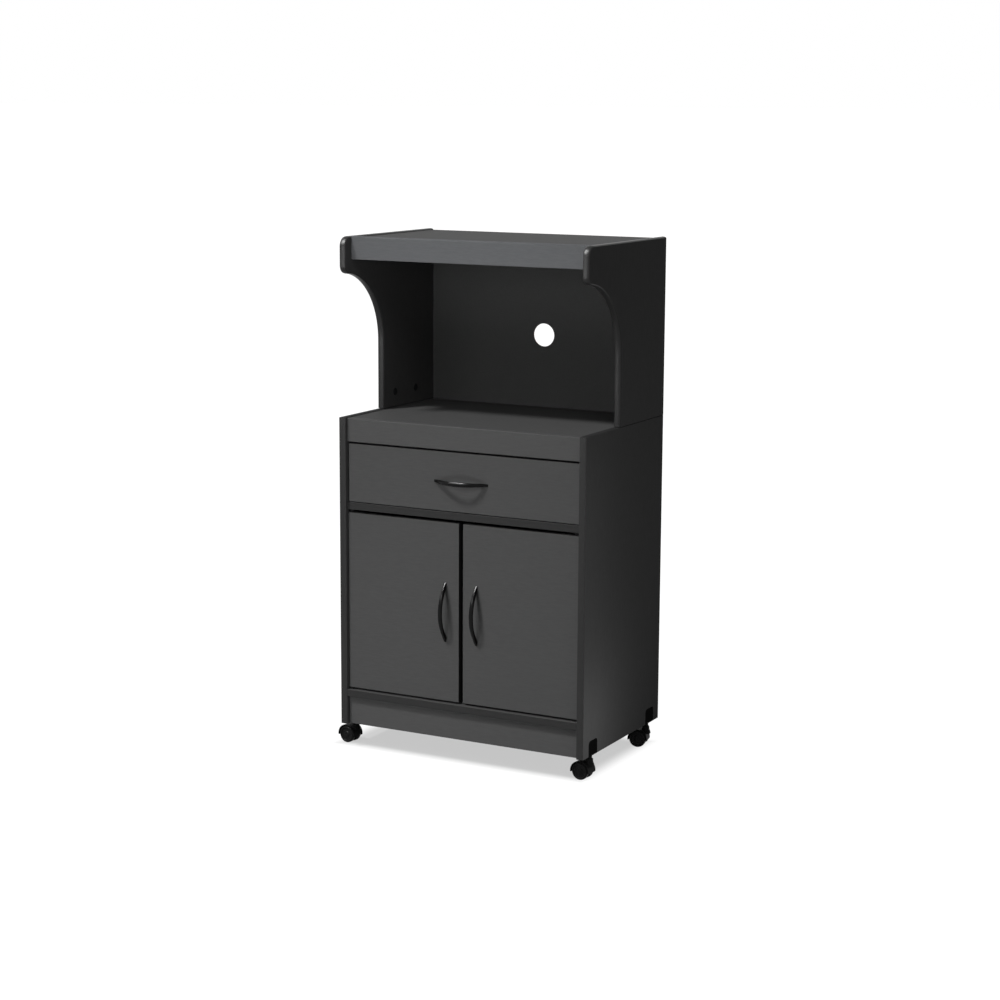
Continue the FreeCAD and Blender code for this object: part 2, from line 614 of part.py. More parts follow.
def build_drawer_box():
    front_left = IN_LEFT + DRAWER_SIDE_GAP
    front_right = IN_RIGHT - DRAWER_SIDE_GAP
    add("drawer_front", board(front_left, front_right, FRONT_FACE, DOOR_BACK, DRAWER_BOTTOM, DRAWER_TOP))
    box_left = IN_LEFT + RUNNER_SPACE
    box_right = IN_RIGHT - RUNNER_SPACE
    low = RUNNER_Z + RAIL_UP
    high = low + BOX_HEIGHT
    rear = DOOR_BACK + BOX_DEPTH
    add("drawer_left_side", box(box_left, box_left + BOX_BOARD, DOOR_BACK, rear, low, high))
    add("drawer_right_side", box(box_right - BOX_BOARD, box_right, DOOR_BACK, rear, low, high))
    add("drawer_back", box(box_left + BOX_BOARD, box_right - BOX_BOARD, rear - BOX_BOARD, rear, low, high))
    sheet = box(box_left + BOX_BOARD - GROOVE_DEPTH, box_right - BOX_BOARD + GROOVE_DEPTH,
                DOOR_BACK - GROOVE_DEPTH, rear - BOX_BOARD + GROOVE_DEPTH,
                low + GROOVE_UP, low + GROOVE_UP + BOX_BOTTOM_SHEET)
    add("drawer_bottom", sheet)
    for node in ("drawer_front", "drawer_left_side", "drawer_right_side", "drawer_back"):
        cut_from(node, sheet)
    for side in SIDES:
        side_x = (box_left if side < 0 else box_right) - side * BOX_BOARD / 2
        head_x = box_left if side < 0 else box_right
        box_side = "drawer_" + side_name(side) + "_side"
        inward = -X_AXIS * side
        for up in BOX_FIXINGS_UP:
            start = V(side_x, DOOR_BACK - DOWEL_IN_FACE, low + up)
            hole = rod(BOX_DOWEL_RADIUS + FIT, start, Y_AXIS, BOX_DOWEL_LENGTH)
            add("drawer_fixings", rod(BOX_DOWEL_RADIUS, start, Y_AXIS, BOX_DOWEL_LENGTH))
            cut_from("drawer_front", hole)
            cut_from(box_side, hole)
            place = V(head_x, rear - BOX_BOARD / 2, low + up)
            bored = (box_side, "drawer_back")
            screw("drawer_fixings", place + inward * SCREW_HEAD, inward, bored, BOX_SCREW_LENGTH)
            sunk = rod(SCREW_HEAD_RADIUS + FIT, place - inward * CUT_OVER, inward, SCREW_HEAD + CUT_OVER)
            cut_from(box_side, sunk)
    centre = V(X_MID, FRONT_FACE, (DRAWER_BOTTOM + DRAWER_TOP) / 2)
    bow = handle()
    bow.rotate(V(0, 0, 0), Y_AXIS, 90)
    add("drawer_handle", bow.translated(centre))
    handle_screws("drawer_fixings", "drawer_front", centre, X_AXIS)


def roller(y, z, u0):
    """A nylon roller about an axis along X, with its bore, on the left side of the cabinet."""
    body = rod(ROLLER_RADIUS, V(u0, y, z), X_AXIS, ROLLER_WIDTH)
    rim = [e for e in body.Edges if near(e.Length, 2 * math.pi * ROLLER_RADIUS)]
    body = body.makeFillet(ROLLER_EDGE, rim)
    bore_start = V(u0 - CUT_OVER, y, z)
    return body.cut(rod(STUB_RADIUS + RUNNING_GAP, bore_start, X_AXIS, ROLLER_WIDTH + 2 * CUT_OVER))


def stub(y, z, u0, u1, head_at_end):
    """A riveted stub that a roller turns on, from u0 to u1, with a thin head at its free end."""
    pin = rod(STUB_RADIUS, V(u0, y, z), X_AXIS, u1 - u0)
    head_x = u1 - STUB_HEAD if head_at_end else u0
    return pin.fuse(rod(STUB_HEAD_RADIUS, V(head_x, y, z), X_AXIS, STUB_HEAD))


def build_runners():
    """The left cabinet rail, drawer rail and their two rollers, and the same mirrored."""
    u = IN_LEFT
    steel = RUNNER_STEEL
    y0 = FRONT + RUNNER_FROM_FRONT
    y1 = y0 + RUNNER_LENGTH
    flange_start = FRONT + FRONT_ROLLER_IN + FLANGE_PAST_ROLLER
    upper_z = RUNNER_Z + CHANNEL_HEIGHT
    web = box(u, u + steel, y0, y1, RUNNER_Z - steel, upper_z + steel)
    lower = box(u, u + RUNNER_FLANGE, flange_start, y1, RUNNER_Z - steel, RUNNER_Z)
    upper = box(u, u + RUNNER_FLANGE, flange_start, y1, upper_z, upper_z + steel)
    front_y = FRONT + FRONT_ROLLER_IN
    rail_flange_z = RUNNER_Z + RAIL_FLANGE_UP + TOUCH_GAP
    front_z = RUNNER_Z + RAIL_FLANGE_UP - ROLLER_RADIUS
    front_roller_x = u + steel + FRONT_ROLLER_GAP
    front_stub_end = front_roller_x + ROLLER_WIDTH + STUB_PAST_ROLLER
    cabinet_rail = web.fuse([lower, upper, stub(front_y, front_z, u, front_stub_end, True)])
    front_roller = roller(front_y, front_z, front_roller_x)

    box_side = u + RUNNER_SPACE
    low = RUNNER_Z + RAIL_UP
    rear_y = FRONT + REAR_ROLLER_IN
    rail_start = DOOR_BACK + RAIL_FLANGE_STEEL
    rail_end = DOOR_BACK + BOX_DEPTH
    rail_top = rail_flange_z + RAIL_FLANGE_STEEL
    flange_end = rear_y - ROLLER_RADIUS - RAIL_FLANGE_IN
    rail_web = box(box_side - steel, box_side, rail_start, rail_end, low - steel, rail_top)
    lip = box(box_side - steel, box_side + RUNNER_FLANGE, rail_start, rail_end, low - steel, low)
    flange = box(u + RAIL_FLANGE_IN, box_side, rail_start, flange_end, rail_flange_z, rail_top)
    rear_z = RUNNER_Z + TOUCH_GAP + ROLLER_RADIUS
    rear_roller_x = u + REAR_ROLLER_GAP
    rear_stub = stub(rear_y, rear_z, rear_roller_x - STUB_PAST_ROLLER, box_side - steel / 2, False)
    drawer_rail = rail_web.fuse([lip, flange, rear_stub])
    rear_roller = roller(rear_y, rear_z, rear_roller_x)

    cabinet_screws = [V(u + steel, y0 + inset, RUNNER_Z + CHANNEL_HEIGHT / 2) for inset in CHANNEL_SCREWS_IN]
    rail_screws = [V(box_side + RAIL_SCREW_IN, DOOR_BACK + inset, low - steel) for inset in RAIL_SCREWS_IN]
    hole_length = 2 * CUT_OVER + steel
    for place in cabinet_screws:
        start = place + X_AXIS * CUT_OVER
        cabinet_rail = cabinet_rail.cut(rod(SCREW_RADIUS + FIT, start, -X_AXIS, hole_length))
    for place in rail_screws:
        start = place - Z_AXIS * CUT_OVER
        drawer_rail = drawer_rail.cut(rod(SCREW_RADIUS + FIT, start, Z_AXIS, hole_length))
    for node, shape in (("cabinet_runners", cabinet_rail), ("front_rollers", front_roller),
                        ("drawer_runners", drawer_rail), ("rear_rollers", rear_roller)):
        add(node, shape)
        add(node, mirrored(shape))
    for side in SIDES:
        for place in cabinet_screws:
            x = place.x if side < 0 else 2 * X_MID - place.x
            side_panel = side_name(side) + "_side_panel"
            screw("carcass_screws", V(x, place.y, place.z), X_AXIS * side, (side_panel,))
        for place in rail_screws:
            x = place.x if side < 0 else 2 * X_MID - place.x
            screw("drawer_fixings", V(x, place.y, place.z), Z_AXIS, ("drawer_" + side_name(side) + "_side",))


# Doors

def hinge_pin_place(side):
    """X and Y of a door's hinge pins."""
    x = inner_face(side) - side * (DOOR_SIDE_GAP + PIN_FROM_EDGE)
    return x, FRONT_FACE + PIN_FROM_FACE


def fixed_plate(side, plate_z, board_z, leaf_z, up):
    """A fixed hinge plate with its shouldered pin, on the board at board_z. up is the pin's way."""
    x, y = hinge_pin_place(side)
    x0 = x - PLATE_WIDTH / 2
    y0 = y - PIN_SHOULDER_RADIUS
    low, high = sorted((board_z, plate_z))
    plate = box(x0, x0 + PLATE_WIDTH, y0, y0 + PLATE_LENGTH, low, high)
    upright = [e for e in plate.Edges if near(e.Length, PLATE_STEEL)]
    plate = plate.makeFillet(PLATE_ROUND, upright)
    shoulder_length = abs(leaf_z - plate_z) - TOUCH_GAP
    shoulder = rod(PIN_SHOULDER_RADIUS, V(x, y, plate_z), Z_AXIS * up, shoulder_length)
    pin_length = abs(leaf_z - plate_z) + PLATE_STEEL + PIN_IN_DOOR
    pin = rod(PIN_RADIUS, V(x, y, plate_z), Z_AXIS * up, pin_length)
    return plate.fuse([shoulder, pin])


def door_leaf(side, edge_z, leaf_z):
    """A door's hinge leaf on its upper or lower edge, bored for the pin."""
    x, y = hinge_pin_place(side)
    edge_x = inner_face(side) - side * (DOOR_SIDE_GAP + LEAF_FROM_EDGE)
    x0, x1 = sorted((edge_x, edge_x - side * LEAF_LENGTH))
    y0 = FRONT_FACE + (BOARD - LEAF_WIDTH) / 2
    low, high = sorted((edge_z, leaf_z))
    leaf = box(x0, x1, y0, y0 + LEAF_WIDTH, low, high)
    bore_start = V(x, y, low - CUT_OVER)
    return leaf.cut(rod(PIN_RADIUS + RUNNING_GAP, bore_start, Z_AXIS, PLATE_STEEL + 2 * CUT_OVER))


def build_door(side):
    name = side_name(side) + "_door"
    hinge_edge = inner_face(side) - side * DOOR_SIDE_GAP
    free_edge = X_MID + side * DOOR_MIDDLE_GAP / 2
    x0, x1 = sorted((hinge_edge, free_edge))
    panel = board(x0, x1, FRONT_FACE, DOOR_BACK, DOOR_BOTTOM, DOOR_TOP)
    x, y = hinge_pin_place(side)
    hole_radius = PIN_RADIUS + DOOR_HOLE_PLAY
    hole_depth = PIN_IN_DOOR + CUT_OVER
    for hole_z in (DOOR_TOP - hole_depth, DOOR_BOTTOM - CUT_OVER):
        panel = panel.cut(rod(hole_radius, V(x, y, hole_z), Z_AXIS, hole_depth + CUT_OVER))
    add(name, panel)

    upper_end = (DIVIDER_BOTTOM, DOOR_TOP, -1, "drawer_divider")
    lower_end = (FLOOR_BOARD_TOP, DOOR_BOTTOM, 1, "bottom_shelf")
    for board_z, edge_z, up, carrier in (upper_end, lower_end):
        plate_z = board_z + up * PLATE_STEEL
        leaf_z = edge_z - up * PLATE_STEEL
        add("hinge_plates", fixed_plate(side, plate_z, board_z, leaf_z, up))
        for along in PLATE_SCREWS_IN:
            screw("carcass_screws", V(x, y + along, plate_z), Z_AXIS * -up, ("hinge_plates", carrier))
        add(name + "_hinge_leaves", door_leaf(side, edge_z, leaf_z))
        for along in LEAF_SCREWS_IN:
            place = V(x - side * along, FRONT_FACE + BOARD / 2, leaf_z)
            screw(name + "_screws", place, Z_AXIS * up, (name + "_hinge_leaves", name))

    handle_x = free_edge + side * DOOR_HANDLE_FROM_EDGE
    centre = V(handle_x, FRONT_FACE, (DOOR_BOTTOM + DOOR_TOP) / 2)
    add(name + "_handle", handle().translated(centre))
    handle_screws(name + "_screws", name, centre, Z_AXIS)

    width, steel, height = STRIKE_SIZE
    near_edge = free_edge + side * STRIKE_FROM_EDGE
    sx0, sx1 = sorted((near_edge, near_edge + side * width))
    strike_z = DOOR_TOP - STRIKE_DROP - height
    add(name + "_strike_plate", box(sx0, sx1, DOOR_BACK, DOOR_BACK + steel, strike_z, strike_z + height))
    place = V((sx0 + sx1) / 2 + side * STRIKE_SCREW_OFFSET, DOOR_BACK + steel, strike_z + height / 2)
    screw(name + "_screws", place, -Y_AXIS, (name + "_strike_plate", name))


def build_catch():
    """The twin magnetic catch under the divider, behind the doors' meeting edges."""
    width, steel, height = STRIKE_SIZE
    front = DOOR_BACK + steel + TOUCH_GAP
    strike_z = DOOR_TOP - STRIKE_DROP - height
    half = DOOR_MIDDLE_GAP / 2 + STRIKE_FROM_EDGE + width - CATCH_SHORT_OF_STRIKE
    body_front = front + CATCH_BODY_BEHIND_MAGNET
    body_back = front + CATCH_DEPTH
    foot_z = DIVIDER_BOTTOM - CATCH_FOOT_THICK
    body = box(X_MID - half, X_MID + half, body_front, body_back, strike_z - 1, DIVIDER_BOTTOM)
    foot = box(X_MID - half, X_MID + half, body_back, body_back + CATCH_FOOT, foot_z, DIVIDER_BOTTOM)
    body = body.fuse(foot)
    magnet_near = DOOR_MIDDLE_GAP / 2 + MAGNET_FROM_EDGE
    magnet_far = half - MAGNET_MARGIN
    for side in SIDES:
        x0, x1 = sorted((X_MID + side * magnet_near, X_MID + side * magnet_far))
        magnet = box(x0, x1, front, front + MAGNET_DEPTH, strike_z + 1, strike_z + height - 1)
        body = body.fuse(magnet)
        place = V(X_MID + side * CATCH_SCREW_OFFSET, body_back + CATCH_FOOT / 2, foot_z)
        screw("carcass_screws", place, Z_AXIS, ("magnetic_catch", "drawer_divider"))
    add("magnetic_catch", body)


# Casters, each made about its stem with the wheels trailing along +X, then turned its own way

def hood_sector():
    """The curved hood over both wheels, open below HOOD_OPENING_Z."""
    axle = V(TRAIL, -HOOD_HALF_WIDTH, WHEEL_RADIUS)
    outer = rod(HOOD_RADIUS, axle, Y_AXIS, 2 * HOOD_HALF_WIDTH)
    inner = rod(HOOD_INNER_RADIUS, axle - Y_AXIS * CUT_OVER, Y_AXIS, 2 * (HOOD_HALF_WIDTH + CUT_OVER))
    reach = HOOD_RADIUS + CUT_OVER
    below = box(TRAIL - reach, TRAIL + reach, -reach, reach, WHEEL_RADIUS - reach, HOOD_OPENING_Z)
    return outer.cut(inner).cut(below)


def caster_housing():
    """The hood, the web between the wheels that carries the axle, and the neck around the stem."""
    axle = V(TRAIL, 0, WHEEL_RADIUS)
    web = rod((HOOD_RADIUS + HOOD_INNER_RADIUS) / 2, axle - Y_AXIS * WEB_HALF, Y_AXIS, 2 * WEB_HALF)
    reach = HOOD_RADIUS + CUT_OVER
    web = web.cut(box(TRAIL - reach, TRAIL + reach, -reach, reach, WHEEL_RADIUS - reach, WEB_OPENING_Z))
    neck_height = CASTER_HEIGHT - NECK_BELOW_PANEL - WHEEL_RADIUS
    collar_height = CASTER_HEIGHT - COLLAR_BELOW_PANEL - WHEEL_RADIUS
    neck = rod(NECK_RADIUS, V(0, 0, WHEEL_RADIUS), Z_AXIS, neck_height)
    collar = rod(COLLAR_RADIUS, V(0, 0, WHEEL_RADIUS), Z_AXIS, collar_height)
    inside = rod(HOOD_INNER_RADIUS, axle - Y_AXIS * reach, Y_AXIS, 2 * reach)
    neck = neck.fuse(collar).cut(inside)
    body = hood_sector().fuse([web, neck])
    body = body.cut(rod(AXLE_RADIUS + RUNNING_GAP, axle - Y_AXIS * reach, Y_AXIS, 2 * reach))
    stem_foot = V(0, 0, CASTER_HEIGHT - STEM_IN_HOUSING)
    return body.cut(rod(STEM_RADIUS + FIT, stem_foot, Z_AXIS, STEM_IN_HOUSING))


def caster_stem():
    base = V(0, 0, CASTER_HEIGHT - STEM_IN_HOUSING)
    return rod(STEM_RADIUS, base, Z_AXIS, STEM_IN_HOUSING + STEM_IN_SOCKET)


def caster_wheel(side):
    """One wheel of the pair, dished on its outer face, with a hub that holds the axle."""
    inner = WHEEL_INNER
    outer = WHEEL_INNER + WHEEL_WIDTH
    floor = outer - WHEEL_DISH
    profile = [
        (0, inner), (WHEEL_RADIUS - 1.2, inner), (WHEEL_RADIUS, inner + 1.2), (WHEEL_RADIUS, outer - 1.8),
        (WHEEL_RADIUS - 1.8, outer), (WHEEL_RADIUS - 3.8, outer), (WHEEL_RADIUS - 5.0, floor),
        (6.4, floor), (5.4, outer - 0.6), (0, outer - 0.6),
    ]
    points = [V(radius, side * y, 0) for radius, y in profile]
    face = Part.Face(Part.makePolygon(points + [points[0]]))
    wheel = face.revolve(V(0, 0, 0), Y_AXIS, 360)
    bore = rod(AXLE_RADIUS, V(0, -AXLE_HALF, 0), Y_AXIS, 2 * AXLE_HALF)
    return wheel.cut(bore).translated(V(TRAIL, 0, WHEEL_RADIUS))


def build_casters():
    axle = rod(AXLE_RADIUS, V(TRAIL, -AXLE_HALF, WHEEL_RADIUS), Y_AXIS, 2 * AXLE_HALF)
    for side, y, name in socket_places():
        angle = math.radians(TRAIL_DEGREES[name])
        trail_way = V(math.cos(angle), math.sin(angle), 0)
        place = V(inner_face(side) + side * BOARD / 2, y, 0)
        prefix = "caster_" + name
        add(prefix + "_housing", turned(caster_housing(), place, trail_way, Z_AXIS))
        add(prefix + "_stem", turned(caster_stem(), place, trail_way, Z_AXIS))
        add(prefix + "_axle", turned(axle, place, trail_way, Z_AXIS))
        for wheel_side in SIDES:
            add(prefix + "_wheels", turned(caster_wheel(wheel_side), place, trail_way, Z_AXIS))


def export_nodes():
    os.makedirs("parts", exist_ok=True)
    for node in sorted(solids):
        finished = []
        for shape in solids[node]:
            tools = [tool for tool in cuts.get(node, []) if tool.BoundBox.intersect(shape.BoundBox)]
            finished.extend((shape.cut(tools) if tools else shape).Solids)
        whole = finished[0] if len(finished) == 1 else Part.makeCompound(finished)
        whole.exportStep("parts/" + node + ".step")
        print(node, len(finished), "solids, valid", whole.isValid(), "volume", round(whole.Volume))


build_base()
build_sockets()
build_inner_shelf()
build_hutch()
build_nails()
build_drawer_box()
build_runners()
for door_side in SIDES:
    build_door(door_side)
build_catch()
build_casters()
export_nodes()
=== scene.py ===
import logging
import math
from collections.abc import Iterable, Sequence
from dataclasses import dataclass
from enum import Enum
from typing import ClassVar

import bmesh
import bpy
from mathutils import Matrix, Vector


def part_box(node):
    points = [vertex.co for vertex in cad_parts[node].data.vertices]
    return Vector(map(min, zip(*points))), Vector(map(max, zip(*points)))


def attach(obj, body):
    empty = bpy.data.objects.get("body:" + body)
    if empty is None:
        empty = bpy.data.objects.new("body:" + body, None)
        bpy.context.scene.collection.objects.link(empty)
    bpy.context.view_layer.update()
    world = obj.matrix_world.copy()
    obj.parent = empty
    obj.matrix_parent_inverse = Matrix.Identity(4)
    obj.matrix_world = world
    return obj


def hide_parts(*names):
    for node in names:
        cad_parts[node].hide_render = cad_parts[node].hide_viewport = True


# A rolling kitchen cabinet: a base with a drawer and two doors, and an open hutch above its
# worktop. Sizes in this file are in millimetres and become metres in mm(). +X is right, +Y is
# back, +Z is up.

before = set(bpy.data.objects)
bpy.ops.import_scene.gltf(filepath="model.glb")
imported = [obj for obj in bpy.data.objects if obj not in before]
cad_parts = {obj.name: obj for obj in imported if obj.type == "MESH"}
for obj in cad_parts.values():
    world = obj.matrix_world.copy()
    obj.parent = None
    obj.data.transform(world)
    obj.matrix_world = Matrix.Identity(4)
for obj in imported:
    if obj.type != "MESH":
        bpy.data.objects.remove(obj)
LOG = logging.getLogger("kitchen_cabinet")
SAME_POINT = 1e-6           # metres within which corners are one
BANDED_EDGE = 0.6           # the radius of an edge with a glued band
PRESSED_EDGE = 0.25         # the radius of an edge that stays crisp
WAVE_BANDS = 6.28           # about how many bands the wave texture draws in a metre at scale 1
WHITE = (1.0, 1.0, 1.0, 1.0)

Pair = tuple[float, float]
Triple = tuple[float, float, float]
Tree = bpy.types.NodeTree
Socket = bpy.types.NodeSocket
BMesh = bmesh.types.BMesh


def mm(*values: float) -> Vector:
    """Millimetres to a vector in metres."""
    return Vector([value / 1000.0 for value in values])


def per_metre(size_mm: float) -> float:
    """The texture scale at which a pattern repeats every size_mm."""
    return 1000.0 / size_mm


def wave_scale(line_mm: float) -> float:
    """The wave texture's scale at which its lines, and the gaps between them, are line_mm wide."""
    return per_metre(line_mm) / WAVE_BANDS


def linear(hex_colour: str) -> tuple[float, float, float, float]:
    """Turns an sRGB hex colour to Blender's linear colour.

    Args:
        hex_colour: Six hex digits, without a leading sign.

    Returns:
        Linear red, green and blue, and an alpha of 1.
    """
    parts = [int(hex_colour[i:i + 2], 16) / 255.0 for i in (0, 2, 4)]
    red, green, blue = (p / 12.92 if p <= 0.04045 else ((p + 0.055) / 1.055) ** 2.4 for p in parts)
    return red, green, blue, 1.0


def add_node(tree: Tree, kind: str, inputs: dict | None = None,
             **settings: object) -> bpy.types.Node:
    """Adds one node with its settings and links.

    Args:
        tree: The node tree that gets the node.
        kind: The node's type.
        inputs: By socket name or number, a value or the output socket that feeds it.
        settings: The node's own properties.

    Returns:
        The new node.
    """
    node = tree.nodes.new(kind)
    for name, value in settings.items():
        setattr(node, name, value)
    for socket, value in (inputs or {}).items():
        if isinstance(value, Socket):
            tree.links.new(value, node.inputs[socket])
        else:
            node.inputs[socket].default_value = value
    return node


class Side(Enum):
    """Which side of the cabinet a piece is on, as its user sees it."""

    LEFT = -1
    RIGHT = 1

    @property
    def word(self) -> str:
        """The side's name in lower case."""
        return self.name.lower()


class BoardFaces(Enum):
    """The axis that a board's two wide faces look along; its other sides are edges."""

    ACROSS = (1.0, 0.0, 0.0)
    FRONT = (0.0, 1.0, 0.0)
    LEVEL = (0.0, 0.0, 1.0)


class FoiledSide(Enum):
    """The way that a hardboard sheet's foiled side looks."""

    FRONT = (0.0, -1.0, 0.0)
    TOP = (0.0, 0.0, 1.0)


# Finishes

@dataclass(frozen=True)
class Finish:
    """A surface finish, whose material is made once and shared."""

    name: ClassVar[str] = "finish"
    made: ClassVar[dict[str, bpy.types.Material]] = {}

    def label(self) -> str:
        """The material's name."""
        return self.name

    def material(self) -> bpy.types.Material:
        """The finish's material, made when it is first asked for.

        Returns:
            The Blender material.
        """
        if self.label() not in self.made:
            material = bpy.data.materials.new(self.label())
            material.use_nodes = True
            tree = material.node_tree
            tree.nodes.clear()
            add_node(tree, "ShaderNodeOutputMaterial", {"Surface": self.surface(tree)})
            self.made[self.label()] = material
        return self.made[self.label()]

    def surface(self, tree: Tree) -> Socket:
        """Builds the finish's nodes and gives the shader's output."""
        raise NotImplementedError

    @staticmethod
    def two_tone(tree: Tree, pattern: Socket, spread: Pair, low: str, high: str) -> Socket:
        """Lays two tones out along a pattern.

        Args:
            tree: The material's node tree.
            pattern: The pattern's value.
            spread: Its values at which one tone and the other are full.
            low: The tone where the pattern is low, as hex.
            high: The tone where it is high.

        Returns:
            The mixed colour.
        """
        share = add_node(tree, "ShaderNodeMapRange", {
            "Value": pattern, "From Min": spread[0], "From Max": spread[1]})
        mixed = add_node(tree, "ShaderNodeMix", {
            0: share.outputs["Result"], 6: linear(low), 7: linear(high)}, data_type="RGBA")
        return mixed.outputs[2]

    @staticmethod
    def in_relief(tree: Tree, height: Socket, strength: float, depth_mm: float,
                  inputs: dict) -> Socket:
        """Builds a shader with a fine relief.

        Args:
            tree: The material's node tree.
            height: The relief's height.
            strength: How much of it shows.
            depth_mm: Its full depth in millimetres.
            inputs: The shader's other inputs.

        Returns:
            The shader's output.
        """
        relief = add_node(tree, "ShaderNodeBump", {
            "Height": height, "Strength": strength, "Distance": depth_mm / 1000.0})
        shader = add_node(tree, "ShaderNodeBsdfPrincipled", {
            **inputs, "Normal": relief.outputs["Normal"]})
        return shader.outputs["BSDF"]


@dataclass(frozen=True)
class PressedMelamine(Finish):
    """Charcoal melamine paper pressed on chipboard, with a plastic band glued on its edges.

    The press plate's fine pearl texture breaks the reflections into a soft sheen, and the paper's
    print is a little uneven, drawn out along the board. The band is darker and smoother.
    """

    name: ClassVar[str] = "pressed_melamine"
    faces: BoardFaces = BoardFaces.FRONT
    face_colour: str = "494949"
    print_colour: str = "464646"
    band_colour: str = "2f2f2f"
    banded: bool = True
    lustre: float = 0.008
    dullness: float = 0.55
    band_dullness: float = 0.42
    pearl_mm: float = 1.1       # really about 0.4 mm, drawn coarser so that it shows
    print_mm: float = 2.4
    print_spread: Pair = (0.35, 0.65)
    drawn_out: float = 0.12     # the print's scale along the board
    edge_turn: float = 0.8      # a side that looks along the wide faces' axis by less is an edge

    def label(self) -> str:
        """The material's name, with the board's lie, its tone and whether it is banded."""
        edges = "" if self.banded else "_wrapped"
        return f"{self.name}_{self.faces.name.lower()}_{self.face_colour}{edges}_{self.lustre:g}"

    def surface(self, tree: Tree) -> Socket:
        """Builds the melamine's nodes.

        Args:
            tree: The material's node tree.

        Returns:
            The shader's output.
        """
        place = add_node(tree, "ShaderNodeTexCoord").outputs
        upright = self.faces is BoardFaces.ACROSS
        along = add_node(tree, "ShaderNodeMapping", {
            "Vector": place["Object"],
            "Scale": (1.0, 1.0, self.drawn_out) if upright else (self.drawn_out, 1.0, 1.0)})
        printed = add_node(tree, "ShaderNodeTexNoise", {
            "Vector": along.outputs["Vector"], "Scale": per_metre(self.print_mm), "Detail": 4.0,
            "Roughness": 0.6})
        pearl = add_node(tree, "ShaderNodeTexNoise", {
            "Vector": place["Object"], "Scale": per_metre(self.pearl_mm), "Detail": 2.0})
        colour = self.two_tone(tree, printed.outputs["Fac"], self.print_spread,
                               self.print_colour, self.face_colour)
        dullness = self.dullness
        if self.banded:
            facing = add_node(tree, "ShaderNodeVectorMath", {
                0: place["Normal"], 1: self.faces.value}, operation="DOT_PRODUCT")
            size = add_node(tree, "ShaderNodeMath", {0: facing.outputs["Value"]},
                            operation="ABSOLUTE")
            on_edge = add_node(tree, "ShaderNodeMath", {0: size.outputs[0], 1: self.edge_turn},
                               operation="LESS_THAN")
            mixed = add_node(tree, "ShaderNodeMix", {
                0: on_edge.outputs[0], 6: colour, 7: linear(self.band_colour)}, data_type="RGBA")
            smoother = add_node(tree, "ShaderNodeMapRange", {
                "Value": on_edge.outputs[0], "To Min": self.dullness,
                "To Max": self.band_dullness})
            colour, dullness = mixed.outputs[2], smoother.outputs["Result"]
        return self.in_relief(tree, pearl.outputs["Fac"], strength=0.35, depth_mm=0.06, inputs={
            "Base Color": colour, "Roughness": dullness, "IOR": 1.5,
            "Specular IOR Level": self.lustre})


@dataclass(frozen=True)
class FoiledHardboard(Finish):
    """Wet-process hardboard with charcoal paper foil on its smooth face and a bare brown rear.

    The bare side keeps the print of the wire mesh that it was pressed on, and flecks of bark.
    """

    name: ClassVar[str] = "foiled_hardboard"
    foiled: FoiledSide = FoiledSide.FRONT
    foil_colour: str = "444444"
    foil_shade: str = "404040"
    fibre_colour: str = "6e4f37"
    fleck_colour: str = "4a3323"
    fibre_mm: float = 3.0
    wire_mm: float = 2.2        # really about 1.2 mm, drawn coarser so that it shows
    fibre_spread: Pair = (0.38, 0.62)
    dullness: float = 0.55
    bare_dullness: float = 0.85
    lustre: float = 0.008
    foil_turn: float = 0.5      # a side that looks the foil's way by less is bare

    def label(self) -> str:
        """The material's name, with the way that its foil looks."""
        return f"{self.name}_{self.foiled.name.lower()}"

    def surface(self, tree: Tree) -> Socket:
        """Builds the hardboard's nodes.

        Args:
            tree: The material's node tree.

        Returns:
            The shader's output.
        """
        place = add_node(tree, "ShaderNodeTexCoord").outputs
        fibres = add_node(tree, "ShaderNodeTexNoise", {
            "Vector": place["Object"], "Scale": per_metre(self.fibre_mm), "Detail": 8.0,
            "Roughness": 0.72, "Distortion": 0.6}).outputs["Fac"]
        bare, foil = (self.two_tone(tree, fibres, self.fibre_spread, low, high) for low, high in (
            (self.fleck_colour, self.fibre_colour), (self.foil_shade, self.foil_colour)))
        facing = add_node(tree, "ShaderNodeVectorMath", {
            0: place["Normal"], 1: self.foiled.value}, operation="DOT_PRODUCT")
        behind = add_node(tree, "ShaderNodeMath", {0: facing.outputs["Value"], 1: self.foil_turn},
                          operation="LESS_THAN").outputs[0]
        colour = add_node(tree, "ShaderNodeMix", {0: behind, 6: foil, 7: bare}, data_type="RGBA")
        dullness = add_node(tree, "ShaderNodeMapRange", {
            "Value": behind, "To Min": self.dullness, "To Max": self.bare_dullness})
        height, cross_wires = (add_node(tree, "ShaderNodeTexWave", {
            "Vector": place["Object"], "Scale": wave_scale(self.wire_mm), "Distortion": 0.4},
            bands_direction=way).outputs["Fac"] for way in ("X", "Z"))
        for other, step in ((cross_wires, "MAXIMUM"), (behind, "MULTIPLY"), (fibres, "ADD")):
            height = add_node(tree, "ShaderNodeMath", {0: height, 1: other},
                              operation=step).outputs[0]
        return self.in_relief(tree, height, strength=0.5, depth_mm=0.12, inputs={
            "Base Color": colour.outputs[2], "Roughness": dullness.outputs["Result"], "IOR": 1.5,
            "Specular IOR Level": self.lustre})


